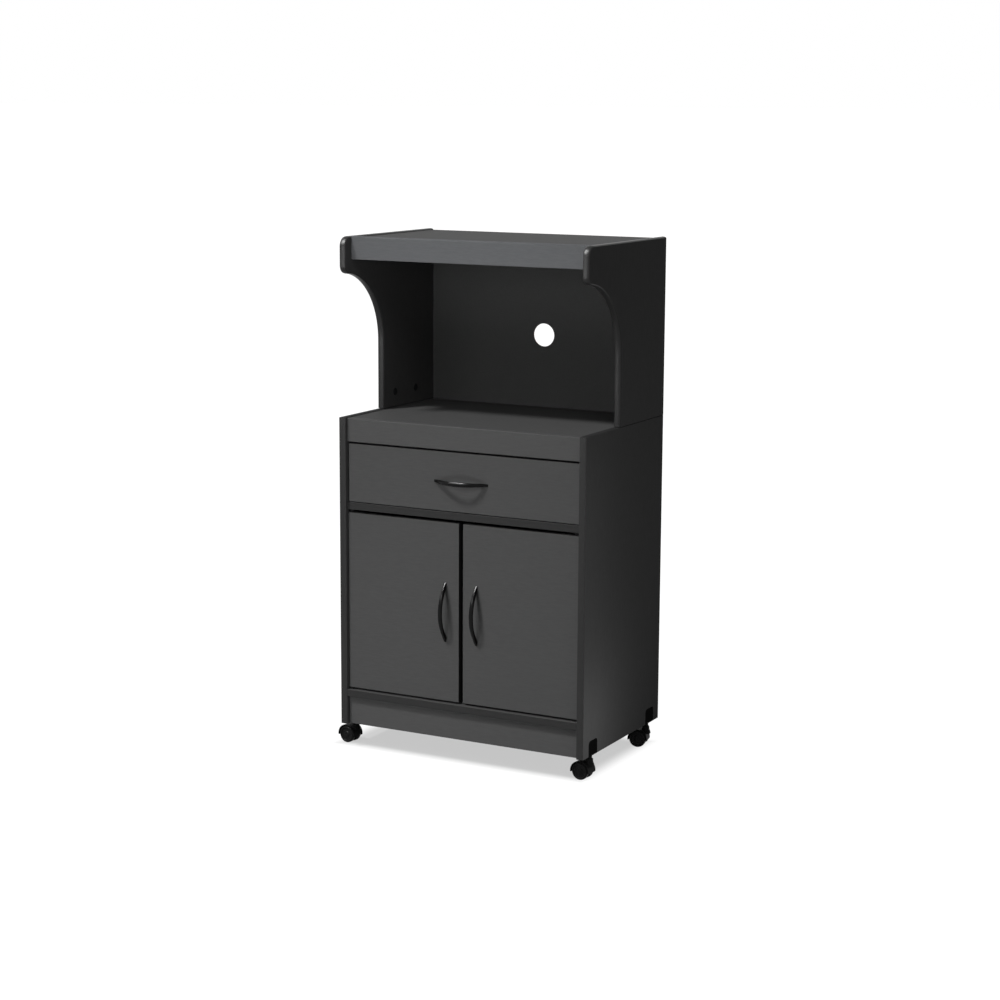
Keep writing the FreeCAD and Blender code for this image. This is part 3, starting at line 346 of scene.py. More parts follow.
@dataclass(frozen=True)
class LinenFoil(Finish):
    """Grey paper foil with a linen print, wrapped round the drawer box's thin boards."""

    name: ClassVar[str] = "linen_foil"
    thread: str = "5a5b5c"
    gap: str = "4b4c4d"
    thread_mm: float = 1.6      # really about 0.6 mm, drawn coarser so that it shows
    dullness: float = 0.58
    lustre: float = 0.02

    def surface(self, tree: Tree) -> Socket:
        """Builds the foil's nodes.

        Args:
            tree: The material's node tree.

        Returns:
            The shader's output.
        """
        place = add_node(tree, "ShaderNodeTexCoord").outputs["Object"]
        weave, weft, upright = (add_node(tree, "ShaderNodeTexWave", {
            "Vector": place, "Scale": wave_scale(self.thread_mm), "Distortion": 1.2,
            "Detail": 2.0, "Detail Scale": 0.6}, bands_direction=way).outputs["Fac"]
            for way in ("X", "Y", "Z"))
        for other, step in ((weft, "MULTIPLY"), (upright, "ADD")):
            weave = add_node(tree, "ShaderNodeMath", {0: weave, 1: other},
                             operation=step).outputs[0]
        return self.in_relief(tree, weave, strength=0.2, depth_mm=0.08, inputs={
            "Base Color": self.two_tone(tree, weave, (0.0, 1.0), self.gap, self.thread),
            "Roughness": self.dullness, "IOR": 1.5, "Specular IOR Level": self.lustre})


@dataclass(frozen=True)
class Mottled(Finish):
    """A finish in two close tones: what the plastics, metals, coatings and turned wood share.

    Clouds or drawn-out flecks carry its colour and gloss, and a skin, or the clouds themselves
    where it has none, breaks up what it reflects.
    """

    name: ClassVar[str] = "mottled"
    tone: ClassVar[str] = "101011"
    cloud_tone: ClassVar[str] = "151516"
    cloud_mm: ClassVar[float] = 14.0
    cloud_detail: ClassVar[float] = 3.0
    cloud_spread: ClassVar[Pair] = (0.0, 1.0)
    drawn_out: ClassVar[Triple] = (1.0, 1.0, 1.0)   # the clouds' scale along each axis
    dullness: ClassVar[Pair] = (0.40, 0.48)
    skin_mm: ClassVar[float] = 0.0
    skin_strength: ClassVar[float] = 0.5
    skin_depth_mm: ClassVar[float] = 0.04
    ior: ClassVar[float] = 1.5
    specular: ClassVar[float] = 0.5
    metallic: ClassVar[float] = 0.0

    def surface(self, tree: Tree) -> Socket:
        """Builds the finish's nodes.

        Args:
            tree: The material's node tree.

        Returns:
            The shader's output.
        """
        place = add_node(tree, "ShaderNodeTexCoord").outputs["Object"]
        along = add_node(tree, "ShaderNodeMapping", {"Vector": place, "Scale": self.drawn_out})
        clouds = add_node(tree, "ShaderNodeTexNoise", {
            "Vector": along.outputs["Vector"], "Scale": per_metre(self.cloud_mm),
            "Detail": self.cloud_detail}).outputs["Fac"]
        skin, dullness = clouds, self.dullness[0]
        if self.skin_mm:
            skin = add_node(tree, "ShaderNodeTexNoise", {
                "Vector": place, "Scale": per_metre(self.skin_mm), "Detail": 2.0}).outputs["Fac"]
        if self.dullness[1] != dullness:
            dullness = add_node(tree, "ShaderNodeMapRange", {
                "Value": clouds, "To Min": self.dullness[0],
                "To Max": self.dullness[1]}).outputs["Result"]
        inputs = {
            "Base Color": self.two_tone(tree, clouds, self.cloud_spread, self.tone,
                                        self.cloud_tone),
            "Roughness": dullness}
        if self.metallic:
            inputs["Metallic"] = self.metallic
        else:
            inputs |= {"IOR": self.ior, "Specular IOR Level": self.specular}
        return self.in_relief(tree, skin, self.skin_strength, self.skin_depth_mm, inputs)


class ExtrudedTrim(Mottled):
    """Charcoal PVC edge moulding, extruded with a domed face.

    It is satin, so that the dome carries a soft streak of light, with faint lines along its length.
    """

    name = "extruded_pvc_trim"
    tone, cloud_tone = "272727", "2c2c2c"
    cloud_mm, cloud_detail = 1.4, 2.0
    drawn_out = (1.0, 0.03, 0.03)
    dullness = (0.36, 0.36)
    skin_strength, skin_depth_mm = 0.25, 0.05
    ior, specular = 1.53, 0.062


class Moulded(Mottled):
    """A moulded plastic: what its kinds share.

    The mould's skin gives a fine even texture, and the plastic's flow a slow change of its gloss.
    """

    skin_mm = 0.7
    ior, specular = 1.53, 0.04


class PolishedAbs(Moulded):
    """Black ABS from a polished mould: deep and glossy, with only a trace of orange peel."""

    name = "polished_abs"
    tone, cloud_tone = "080808", "0c0c0c"
    dullness = (0.15, 0.2)
    skin_mm, skin_depth_mm = 4.0, 0.02
    specular = 0.065


class TexturedNylon(Moulded):
    """Black nylon from a spark-eroded mould: satin, and grained enough to scatter its lights."""

    name = "textured_nylon"
    tone, cloud_tone = "0c0c0c", "121212"
    dullness = (0.40, 0.50)
    specular = 0.02


class MattNylon(Moulded):
    """Black nylon with a coarse spark finish, for the sockets: dull and very dark."""

    name = "matt_nylon"
    tone, cloud_tone = "060606", "090909"
    dullness = (0.62, 0.7)
    skin_depth_mm = 0.012
    specular = 0.002


class WheelNylon(Moulded):
    """Black nylon for wheels, smoother than the hoods and a little uneven in tone."""

    name = "rolled_black_nylon"
    tone, cloud_tone = "101010", "171717"
    dullness = (0.34, 0.46)
    skin_mm = 1.6
    specular = 0.03


class CapPolythene(Moulded):
    """Charcoal polythene for the press-in caps: waxy and slightly darker than the boards."""

    name = "cap_polythene"
    tone, cloud_tone = "202122", "262728"
    dullness = (0.44, 0.54)
    ior = 1.51


class NaturalNylon(Moulded):
    """Uncoloured nylon rollers: milky off-white and satin."""

    name = "natural_nylon"
    tone, cloud_tone = "d8d4c6", "e4e1d6"
    dullness = (0.36, 0.44)


class BakedEnamel(Moulded):
    """Black enamel baked on pressed steel: smooth and even, with a slight orange peel."""

    name = "baked_black_enamel"
    tone, cloud_tone = "111111", "161616"
    dullness = (0.34, 0.42)
    skin_mm = 2.0
    ior = 1.5


class PlatedSteel(Mottled):
    """Pressed steel with bright zinc plating.

    The passivated zinc is bluish with faint straw clouds, and its roughness wanders with them.
    """

    name = "zinc_plated_steel"
    tone, cloud_tone = "c3c7cb", "b3ae9d"
    cloud_mm, cloud_detail, cloud_spread = 6.0, 5.0, (0.4, 0.75)
    dullness = (0.22, 0.42)
    skin_strength, skin_depth_mm = 0.2, 0.05
    metallic = 1.0


class DieCastZinc(PlatedSteel):
    """Die-cast zinc for the cam discs: greyer and grainier than plated steel."""

    name = "die_cast_zinc"
    tone, cloud_tone = "a2a5a8", "8e9092"
    cloud_mm = 1.5


class PowderCoat(Mottled):
    """Cream epoxy powder on the drawer's steel runners, baked to a semi-gloss orange peel."""

    name = "epoxy_powder_coat"
    tone, cloud_tone = "cdc8ba", "d6d2c6"
    cloud_mm, cloud_detail = 2.5, 2.0
    dullness = (0.26, 0.36)
    skin_strength, skin_depth_mm = 0.4, 0.06


class TurnedBeech(Mottled):
    """Turned beech dowels: pale and fine, with short darker flecks along the rod."""

    name = "turned_beech"
    tone, cloud_tone = "a97c4b", "cda471"
    cloud_mm, cloud_detail = 1.0, 5.0
    drawn_out = (0.2, 1.0, 1.0)
    dullness = (0.62, 0.62)
    skin_strength, skin_depth_mm = 0.3, 0.08


SIDE_BOARD = PressedMelamine(BoardFaces.ACROSS, lustre=0.001)
LEVEL_BOARD = PressedMelamine(BoardFaces.LEVEL)
FRONT_BOARD = PressedMelamine(BoardFaces.FRONT, "464646", "434343")


# Mesh work

def facing(way: Vector, place: Vector) -> Matrix:
    """The matrix that turns +Z to a way and moves the origin to a place in metres."""
    return Matrix.Translation(place) @ way.to_track_quat("Z", "Y").to_matrix().to_4x4()


def box_of(points: Sequence[Vector]) -> tuple[Vector, Vector]:
    """The lowest and the highest corner of the box round some points."""
    return tuple(Vector(map(pick, zip(*points))) for pick in (min, max))


def box_mm(node: str) -> tuple[Vector, Vector]:
    """The lowest and the highest corner of a CAD node's box, in millimetres."""
    return tuple(corner * 1000.0 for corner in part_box(node))


def stand(name: str, data: bpy.types.ID, place: Matrix | None = None) -> bpy.types.Object:
    """Makes an object of a mesh, lamp or camera and puts it in the scene.

    Args:
        name: The object's name.
        data: The mesh, lamp or camera.
        place: Where it goes, in metres; at the origin if it isn't given.

    Returns:
        The object.
    """
    made = bpy.data.objects.new(name, data)
    if place is not None:
        made.matrix_world = place
    bpy.context.scene.collection.objects.link(made)
    return made


def settle(name: str, bm: BMesh, finishes: Sequence[Finish], body: str,
           stands_for: Sequence[str] = (), crease_degrees: float = 38.0) -> None:
    """Turns a bmesh in metres into a finished piece that rides on a body.

    Args:
        name: The piece's name.
        bm: The mesh, which is freed.
        finishes: Its finishes, by the faces' material numbers.
        body: The CAD body it moves with.
        stands_for: The CAD nodes it replaces.
        crease_degrees: Edges that turn by more than this stay sharp.
    """
    bmesh.ops.recalc_face_normals(bm, faces=bm.faces)
    for face in bm.faces:
        face.smooth = True
    crease = math.radians(crease_degrees)
    for edge in bm.edges:
        edge.smooth = len(edge.link_faces) == 2 and edge.calc_face_angle(0.0) < crease
    mesh = bpy.data.meshes.new(name)
    bm.to_mesh(mesh)
    bm.free()
    for finish in finishes:
        mesh.materials.append(finish.material())
    piece = stand(name, mesh)
    piece.modifiers.new("even_faces", "WEIGHTED_NORMAL").keep_sharp = True
    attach(piece, body)
    if stands_for:
        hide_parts(*stands_for)
    LOG.info("%s rides on %s, stands for %s", name, body, ", ".join(stands_for) or "nothing")


def dress(nodes: Iterable[str], finish: Finish, edge_radius: float = 0.0) -> None:
    """Gives CAD nodes that stay a finish, and rounds the edges of boards.

    Args:
        nodes: The nodes' names.
        finish: Their finish.
        edge_radius: The edges' radius in millimetres; 0 leaves them as they are.
    """
    for node in nodes:
        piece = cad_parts[node]
        if not piece.material_slots:
            piece.data.materials.append(None)
        for slot in piece.material_slots:
            slot.material = finish.material()
        if edge_radius:
            piece.modifiers.new("join_faces", "WELD").merge_threshold = SAME_POINT
            bevel = piece.modifiers.new("soft_edges", "BEVEL")
            bevel.width = edge_radius / 1000.0
            bevel.segments = 2
            bevel.limit_method = "ANGLE"
            bevel.angle_limit = math.radians(60.0)
            bevel.harden_normals = True
        LOG.info("%s is dressed in %s", node, finish.label())


def turn_profile(bm: BMesh, profile: Sequence[Pair], steps: int, place: Matrix) -> None:
    """Turns a profile about Z into a solid of revolution.

    Args:
        bm: The mesh that gets it.
        profile: Radius and height of each point in millimetres; a radius of 0 closes an end.
        steps: How many sides the turned solid has.
        place: Where it goes, in metres.
    """
    rings: list[list[bmesh.types.BMVert]] = []
    for radius, height in profile:
        angles = [2 * math.pi * i / steps for i in range(steps if radius else 1)]
        rings.append([bm.verts.new(place @ mm(radius * math.cos(a), radius * math.sin(a), height))
                      for a in angles])
    for lower, upper in zip(rings, rings[1:]):
        for i in range(steps):
            j = (i + 1) % steps
            unique = list(dict.fromkeys((lower[i % len(lower)], lower[j % len(lower)],
                                         upper[j % len(upper)], upper[i % len(upper)])))
            if len(unique) > 2:
                bm.faces.new(unique)


def skin_rings(bm: BMesh, rings: Sequence[Sequence[Vector]]) -> list[list[bmesh.types.BMVert]]:
    """Joins rings of equally many points into a tube with closed ends.

    Args:
        bm: The mesh that gets it.
        rings: The rings' points in metres, in order.

    Returns:
        The tube's corners, ring by ring.
    """
    made = [[bm.verts.new(point) for point in ring] for ring in rings]
    for first, second in zip(made, made[1:]):
        for i in range(len(first)):
            bm.faces.new((first[i - 1], first[i], second[i], second[i - 1]))
    bm.faces.new(list(reversed(made[0])))
    bm.faces.new(made[-1])
    return made


def push_out(bm: BMesh, outline: Sequence[Pair], half: float, place: Matrix,
             rim_round: float) -> None:
    """Extrudes a closed outline to both sides and rounds its two rims.

    Args:
        bm: The mesh that gets it.
        outline: The outline's points in the place's X and Z, in millimetres.
        half: How far it is extruded each way along the place's Y.
        place: Where it goes, in metres.
        rim_round: The rims' radius in millimetres.
    """
    rims = skin_rings(bm, [[place @ mm(u, depth, v) for u, v in outline]
                           for depth in (-half, half)])
    edges = [bm.edges.get((rim[i - 1], rim[i])) for rim in rims for i in range(len(rim))]
    bmesh.ops.bevel(bm, geom=edges, offset=rim_round / 1000.0, segments=3, affect="EDGES",
                    profile=0.5)


def arc(centre: Pair, radius: float, start: float, end: float, steps: int) -> list[Pair]:
    """Points on an arc.

    Args:
        centre: The arc's centre.
        radius: Its radius.
        start: The first point's angle in degrees.
        end: The last point's angle in degrees.
        steps: How many runs the arc is divided into.

    Returns:
        The points, the two ends among them.
    """
    angles = [math.radians(start + (end - start) * i / steps) for i in range(steps + 1)]
    return [(centre[0] + radius * math.cos(a), centre[1] + radius * math.sin(a)) for a in angles]


def arc_depth(along: float, half: float, end_depth: float, middle_depth: float) -> float:
    """The height of a circular arc above its base line.

    Args:
        along: The place, measured from the arc's middle.
        half: Half the arc's chord.
        end_depth: The arc's height at both ends.
        middle_depth: Its height in the middle.

    Returns:
        The height at that place.
    """
    rise = middle_depth - end_depth
    radius = (half ** 2 + rise ** 2) / (2 * rise)
    return middle_depth - radius + math.sqrt(max(radius ** 2 - along ** 2, 0.0))


def solids_of(node: str) -> list[list[Vector]]:
    """The corner points of each separate solid in a CAD node.

    Args:
        node: The node's name.

    Returns:
        One list of points in metres for each solid.
    """
    bm = bmesh.new()
    bm.from_mesh(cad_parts[node].data)
    bmesh.ops.remove_doubles(bm, verts=bm.verts, dist=SAME_POINT)
    unseen = dict.fromkeys(bm.verts)
    groups = []
    while unseen:
        reached, group = [unseen.popitem()[0]], []
        while reached:
            vert = reached.pop()
            group.append(vert.co.copy())
            for edge in vert.link_edges:
                other = edge.other_vert(vert)
                if other in unseen:
                    del unseen[other]
                    reached.append(other)
        groups.append(group)
    bm.free()
    return groups


# Fixings

@dataclass
class Fastener:
    """A headed screw or nail, read from its plain CAD solid.

    Lengths are in millimetres, top is the middle of the head's outer face in metres.
    """

    sides: ClassVar[int] = 20
    tip_length: ClassVar[float] = 2.5
    end_depth: ClassVar[float] = 1e-5       # metres within which a corner is at an end
    head_step: ClassVar[float] = 1e-4       # metres by which a head is wider at the least
    rim_share: ClassVar[float] = 0.95       # the share of the widest radius that a head has
    recess_taper: ClassVar[float] = 0.86    # the recess's floor against its mouth

    top: Vector
    outward: Vector
    length: float
    head_radius: float
    head_height: float
    shank_radius: float

    @classmethod
    def read(cls, points: Sequence[Vector]) -> "Fastener | None":
        """Reads a fastener from its solid's points.

        Args:
            points: The corner points in metres.

        Returns:
            The fastener, or None for a rod without a head.
        """
        low, high = box_of(points)
        axis = max(range(3), key=lambda i: high[i] - low[i])
        middle = (low + high) / 2

        def reach(point: Vector) -> float:
            """A point's distance from the fastener's axis."""
            return Vector([point[i] - middle[i] for i in range(3) if i != axis]).length

        ends = [max(reach(p) for p in points if abs(p[axis] - end[axis]) < cls.end_depth)
                for end in (low, high)]
        if abs(ends[0] - ends[1]) < cls.head_step:
            return None
        head_at_high = ends[1] > ends[0]
        head = [p[axis] for p in points if reach(p) > cls.rim_share * max(ends)]
        outward, top = Vector(), middle.copy()
        outward[axis] = 1 if head_at_high else -1
        top[axis] = (high if head_at_high else low)[axis]
        return cls(top, outward, (high - low)[axis] * 1000, max(ends) * 1000,
                   (max(head) - min(head)) * 1000, min(ends) * 1000)

    def build(self, bm: BMesh, recessed: bool) -> None:
        """Adds the fastener to a mesh.

        Args:
            bm: The mesh that gets it.
            recessed: Whether the head has a cross recess, as a screw has.
        """
        r, h, shank = self.head_radius, self.head_height, self.shank_radius
        place = facing(self.outward, self.top)
        profile = [(0.0, -self.length), (shank * 0.2, -self.length),
                   (shank, -self.length + self.tip_length), (shank, -h), (r * 0.97, -h),
                   (r, -0.75 * h), (r, -0.55 * h), (0.93 * r, -0.25 * h), (0.8 * r, -0.08 * h)]
        if not recessed:
            turn_profile(bm, profile + [(0.0, 0.0)], self.sides, place)
            return
        turn_profile(bm, profile + [(0.6 * r, 0.0)], self.sides, place)
        bm.verts.ensure_lookup_table()
        ring = bm.verts[-self.sides:]
        arm, half, deep = 0.44 * r, 0.1 * r, 0.8 * h
        quarter, cross = [(arm, -half), (arm, half), (half, half)], []
        for _ in range(4):
            cross += quarter
            quarter = [(-y, x) for x, y in quarter]
        mouth, floor = ([bm.verts.new(place @ mm(x * share, y * share, z)) for x, y in cross]
                        for share, z in ((1.0, 0.0), (self.recess_taper, -deep)))
        rim = [bm.edges.get((ring[i - 1], ring[i])) for i in range(len(ring))]
        edge = [bm.edges.new((mouth[i - 1], mouth[i])) for i in range(len(mouth))]
        bmesh.ops.triangle_fill(bm, use_beauty=True, edges=rim + edge)
        for i in range(len(mouth)):
            bm.faces.new((mouth[i - 1], mouth[i], floor[i], floor[i - 1]))
        bm.faces.new(floor)


@dataclass
class Fixings:
    """The screws and nails of all sub-assemblies, and the cams, bolts, pins and dowels."""

    steel: Finish = PlatedSteel()
    black: Finish = BakedEnamel()

    def build(self) -> None:
        """Builds the screws and nails and dresses the other fixings."""
        for node, name, body in (("carcass_screws", "carcass_screw_set", "cabinet"),
                                 ("drawer_fixings", "drawer_screw_set", "drawer")):
            self.build_set(node, name, body, self.steel, "fixing_steel")
        for side in Side:
            door = f"{side.word}_door"
            self.build_set(f"{door}_screws", f"{door}_screw_set", f"{door}_leaf", self.black,
                           "hinge_steel")
        self.build_set("panel_nails", "back_sheet_nails", "cabinet", self.steel, "fixing_steel",
                       recessed=False)
        dress(["cam_locks"], DieCastZinc())
        dress(["cam_bolts", "shelf_pins"], self.steel)
        dress(["wood_dowels"], TurnedBeech())

    @staticmethod
    def build_set(node: str, name: str, body: str, finish: Finish, slot: str,
                  recessed: bool = True) -> None:
        """Rebuilds every headed fastener of a CAD node.

        Args:
            node: The CAD node that holds them.
            name: The new piece's name.
            body: The body it rides on.
            finish: Its finish.
            slot: The record's material slot; not used.
            recessed: Whether the heads have a cross recess.
        """
        bm = bmesh.new()
        for points in solids_of(node):
            fastener = Fastener.read(points)
            if fastener is not None:
                fastener.build(bm, recessed)
        settle(name, bm, [finish], body, [node])


# Handles

@dataclass
class BowHandle:
    """A slim bow handle: a tapered bar that rises from two feet flat on the front."""

    owner: str
    body: str
    centre: Triple
    level: bool = False
    length: float = 131.0
    reach: float = 27.0
    bar: float = 5.5
    foot: float = 15.0
    tip: float = 1.2
    width: float = 10.0
    end_width: float = 5.0
    end_shrink: float = 0.55    # the outermost section against the bar's
    fullness: float = 0.92      # 1 is an ellipse, and less is squarer
    stations: int = 72
    corners: int = 28

    def to_space(self, across: float, depth: float, along: float) -> Vector:
        """A point of the handle in metres, from its own directions in millimetres."""
        right, up = (along, across) if self.level else (across, along)
        return mm(self.centre[0] + right, self.centre[1] - depth, self.centre[2] + up)

    def section(self, along: float, shrink: float) -> list[Vector]:
        """The bar's section at a place along the handle.

        Args:
            along: The place, from the handle's middle.
            shrink: How much smaller than the bar the section is.

        Returns:
            The section's points in metres.
        """
        half, foot_half = self.length / 2, self.length / 2 - self.foot
        outer, inner = arc_depth(along, half, self.tip, self.reach), 0.0
        if abs(along) < foot_half:
            inner = arc_depth(along, foot_half, 0.0, self.reach - self.bar)
        wide = arc_depth(along, half, self.end_width / 2, self.width / 2) * shrink
        deep = (outer - inner) / 2 * shrink
        middle = (outer + inner) / 2 if inner else deep
        points = []
        for i in range(self.corners):
            angle = 2 * math.pi * i / self.corners
            c, s = (math.copysign(abs(part) ** self.fullness, part)
                    for part in (math.cos(angle), math.sin(angle)))
            points.append(self.to_space(wide * c, middle + deep * s, along))
        return points

    def build(self) -> None:
        """Builds the handle."""
        half = self.length / 2
        places = [-half * math.cos(math.pi * i / self.stations) for i in range(self.stations + 1)]
        shrinks = [self.end_shrink, *[1.0] * (self.stations - 1), self.end_shrink]
        bm = bmesh.new()
        skin_rings(bm, [self.section(place, shrink) for place, shrink in zip(places, shrinks)])
        settle(f"{self.owner}_bow_handle", bm, [PolishedAbs()], self.body,
               [f"{self.owner}_handle"])


# Base and hutch

@dataclass
class DomedTrim:
    """The thin domed moulding on a base side's front edge."""

    side: Side
    dome: float = 0.7
    side_gap: float = 0.2
    stand_off: float = 0.15
    bedding: float = 0.1
    end_gap: float = 0.3
    end_lead: float = 0.9
    columns: int = 10

    def build(self) -> None:
        """Builds the moulding on the panel's box."""
        low, high = box_mm(f"{self.side.word}_side_panel")
        middle, half = (low.x + high.x) / 2, (high.x - low.x) / 2 - self.side_gap
        shares = [2 * i / self.columns - 1 for i in range(self.columns + 1)]
        section = [(middle + half * share,
                    low.y - self.stand_off - self.dome * math.sqrt(max(0.0, 1 - share ** 2)))
                   for share in shares]
        section += [(middle + half * way, low.y + self.bedding) for way in (1, -1)]
        heights = [low.z + self.end_gap, low.z + self.end_lead,
                   high.z - self.end_lead, high.z - self.end_gap]
        bm = bmesh.new()
        skin_rings(bm, [[mm(x, y, z) for x, y in section] for z in heights])
        settle(f"{self.side.word}_side_front_trim", bm, [ExtrudedTrim()], "cabinet")


@dataclass
class Base:
    """The base's boards, sockets and back, which keep their CAD shapes, and its front trims."""

    worktop_lustre: float = 0.003

    def build(self) -> None:
        """Dresses the boards and adds the front mouldings."""
        dress(["left_side_panel", "right_side_panel"], SIDE_BOARD, PRESSED_EDGE)
        dress(["drawer_divider", "bottom_shelf", "inner_shelf"], LEVEL_BOARD, BANDED_EDGE)
        dress(["worktop"], PressedMelamine(BoardFaces.LEVEL, lustre=self.worktop_lustre),
              PRESSED_EDGE)
        dress(["plinth"], PressedMelamine(BoardFaces.FRONT), BANDED_EDGE)
        dress(["front_apron"], PressedMelamine(BoardFaces.FRONT, banded=False), PRESSED_EDGE)
        dress(["lower_back_panel"], FoiledHardboard())
        dress(["caster_sockets", "magnetic_catch"], MattNylon())
        dress(["hinge_plates"], BakedEnamel())
        for side in Side:
            DomedTrim(side).build()


@dataclass
class CurvedSide:
    """A hutch side: a column, a quarter-round cut and a rounded nose, with a domed edge."""

    side: Side
    joint_gap: float = 1.1      # a hairline above the base's side, so that the joint shows
    curve_radius: float = 158.0
    curve_up: float = 154.0     # the quarter-round's centre above the panel's foot
    under_round: float = 18.0
    top_round: float = 22.0
    dome: float = 3.0
    columns: int = 14
    arc_steps: tuple[int, int, int] = (56, 14, 18)      # the cut, the nose below and above

    def edge_line(self, low: Vector, high: Vector) -> list[Pair]:
        """The outline of the banded edge in Y and Z, from the column's foot over the nose.

        Args:
            low: The lowest corner of the panel's box in millimetres.
            high: Its highest corner.

        Returns:
            The line's points in millimetres, up to the rear of the top.
        """
        cut_steps, under_steps, top_steps = self.arc_steps
        under, top = self.under_round, self.top_round
        curve_z = low.z + self.curve_up
        under_z = curve_z + math.sqrt((self.curve_radius + under) ** 2 - under ** 2)
        meet = math.degrees(math.atan2(under_z - curve_z, under))
        return [
            (low.y + self.curve_radius, low.z + self.joint_gap),
            *arc((low.y, curve_z), self.curve_radius, 0.0, meet, cut_steps),
            *arc((low.y + under, under_z), under, 180 + meet, 180, under_steps)[1:],
            *arc((low.y + top, high.z - top), top, 180, 90, top_steps),
            (high.y, high.z)]

    def build(self) -> None:
        """Builds the panel with its domed edge."""
        node = f"hutch_{self.side.word}_panel"
        low, high = box_mm(node)
        line = self.edge_line(low, high)
        ways = []
        for i in range(len(line)):
            before, after = line[max(i - 1, 0)], line[min(i + 1, len(line) - 1)]
            run = Vector((after[0] - before[0], after[1] - before[1])).normalized()
            ways.append((-run.y, run.x))
        ways[0], ways[-1] = (-1.0, 0.0), (0.0, 1.0)
        shares = [i / self.columns for i in range(self.columns + 1)]
        bm = bmesh.new()
        grid = []
        for (y, z), (out_y, out_z) in zip(line, ways):
            row = []
            for share in shares:
                rise = self.dome * (math.sqrt(max(0.0, 1 - (2 * share - 1) ** 2)) - 1)
                row.append(bm.verts.new(mm(low.x + (high.x - low.x) * share,
                                           y + out_y * rise, z + out_z * rise)))
            grid.append(row)
        for first, second in zip(grid, grid[1:]):
            for c in range(self.columns):
                edge_face = bm.faces.new((first[c], first[c + 1], second[c + 1], second[c]))
                edge_face.material_index = 1
        feet = [bm.verts.new(mm(x, high.y, low.z + self.joint_gap)) for x in (low.x, high.x)]
        bm.faces.new([row[0] for row in grid] + [feet[0]])
        bm.faces.new([row[-1] for row in reversed(grid)] + [feet[1]])
        bm.faces.new(grid[-1] + [feet[1], feet[0]])
        bm.faces.new(list(reversed(grid[0])) + [feet[0], feet[1]])
        settle(f"hutch_{self.side.word}_curved_side", bm, [SIDE_BOARD, ExtrudedTrim()], "cabinet",
               [node], crease_degrees=30.0)


@dataclass
class CamCaps:
    """The press-in caps over the cams that hold the hutch sides to the base."""

    radius: float = 8.4
    thickness: float = 1.2
    low_z: float = 760.0
    high_z: float = 800.0
    sides: int = 32

    def build(self) -> None:
        """Builds a cap on the room side of each cam that is let into a hutch side."""
        r, t = self.radius, self.thickness
        profile = [(0.0, -0.2), (r - 0.4, -0.2), (r, 0.15 * t), (r - 0.1, 0.5 * t),
                   (r - 0.6, 0.85 * t), (r - 1.4, t), (1.6, t), (1.0, 0.75 * t), (0.0, 0.7 * t)]
        middle_x = sum(corner.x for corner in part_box("worktop")) / 2
        bm = bmesh.new()
        for points in solids_of("cam_locks"):
            low, high = box_of(points)
            middle = (low + high) / 2
            if self.low_z < middle.z * 1000 < self.high_z:
                on_left = middle.x < middle_x
                face = Vector((high.x if on_left else low.x, middle.y, middle.z))
                inward = Vector((1.0 if on_left else -1.0, 0.0, 0.0))
                turn_profile(bm, profile, self.sides, facing(inward, face))
        settle("hutch_cam_caps", bm, [CapPolythene()], "cabinet")


@dataclass
class Hutch:
    """The open bay above the worktop."""

    # The fascia's two tones are lighter than the other boards': painted light for the brighter
    # light at the hutch's top, added to what the hutch lamp gives.
    fascia_colour: str = "5d5e60"
    fascia_print: str = "595a5c"

    def build(self) -> None:
        """Builds the curved sides and their caps and dresses the boards between them."""
        for side in Side:
            CurvedSide(side).build()
        CamCaps().build()
        dress(["hutch_top"], LEVEL_BOARD, BANDED_EDGE)
        # The fascia gets the lighter tones, which hold painted light.
        dress(["hutch_fascia"], PressedMelamine(
            BoardFaces.FRONT, self.fascia_colour, self.fascia_print, banded=False), BANDED_EDGE)
        dress(["hutch_back_panel"], FoiledHardboard())


# Drawer and doors

@dataclass
class Drawer:
    """The drawer with its front, box, runners, rollers and level handle."""

    def build(self) -> None:
        """Dresses the drawer's boards and hardware and builds its handle."""
        dress(["drawer_front"], FRONT_BOARD, BANDED_EDGE)
        dress(["drawer_left_side", "drawer_right_side", "drawer_back"], LinenFoil(), BANDED_EDGE)
        dress(["drawer_bottom"], FoiledHardboard(FoiledSide.TOP))
        dress(["cabinet_runners", "drawer_runners"], PowderCoat())
        dress(["front_rollers", "rear_rollers"], NaturalNylon())
        low, high = box_mm("drawer_front")
        middle = (low + high) / 2
        BowHandle("drawer", "drawer", (middle.x, low.y, middle.z), level=True).build()


@dataclass
class Door:
    """A door with its upright handle, hinge leaves and strike plate."""

    side: Side
    handle_in: float = 33.0     # from the edge where the doors meet

    def build(self) -> None:
        """Dresses the door and its hardware and builds its handle."""
        name = f"{self.side.word}_door"
        dress([name], FRONT_BOARD, BANDED_EDGE)
        dress([f"{name}_hinge_leaves", f"{name}_strike_plate"], BakedEnamel())
        low, high = box_mm(name)
        meeting_x = high.x if self.side is Side.LEFT else low.x
        centre = (meeting_x + self.side.value * self.handle_in, low.y, (low.z + high.z) / 2)
        BowHandle(name, f"{name}_leaf", centre).build()


# Casters

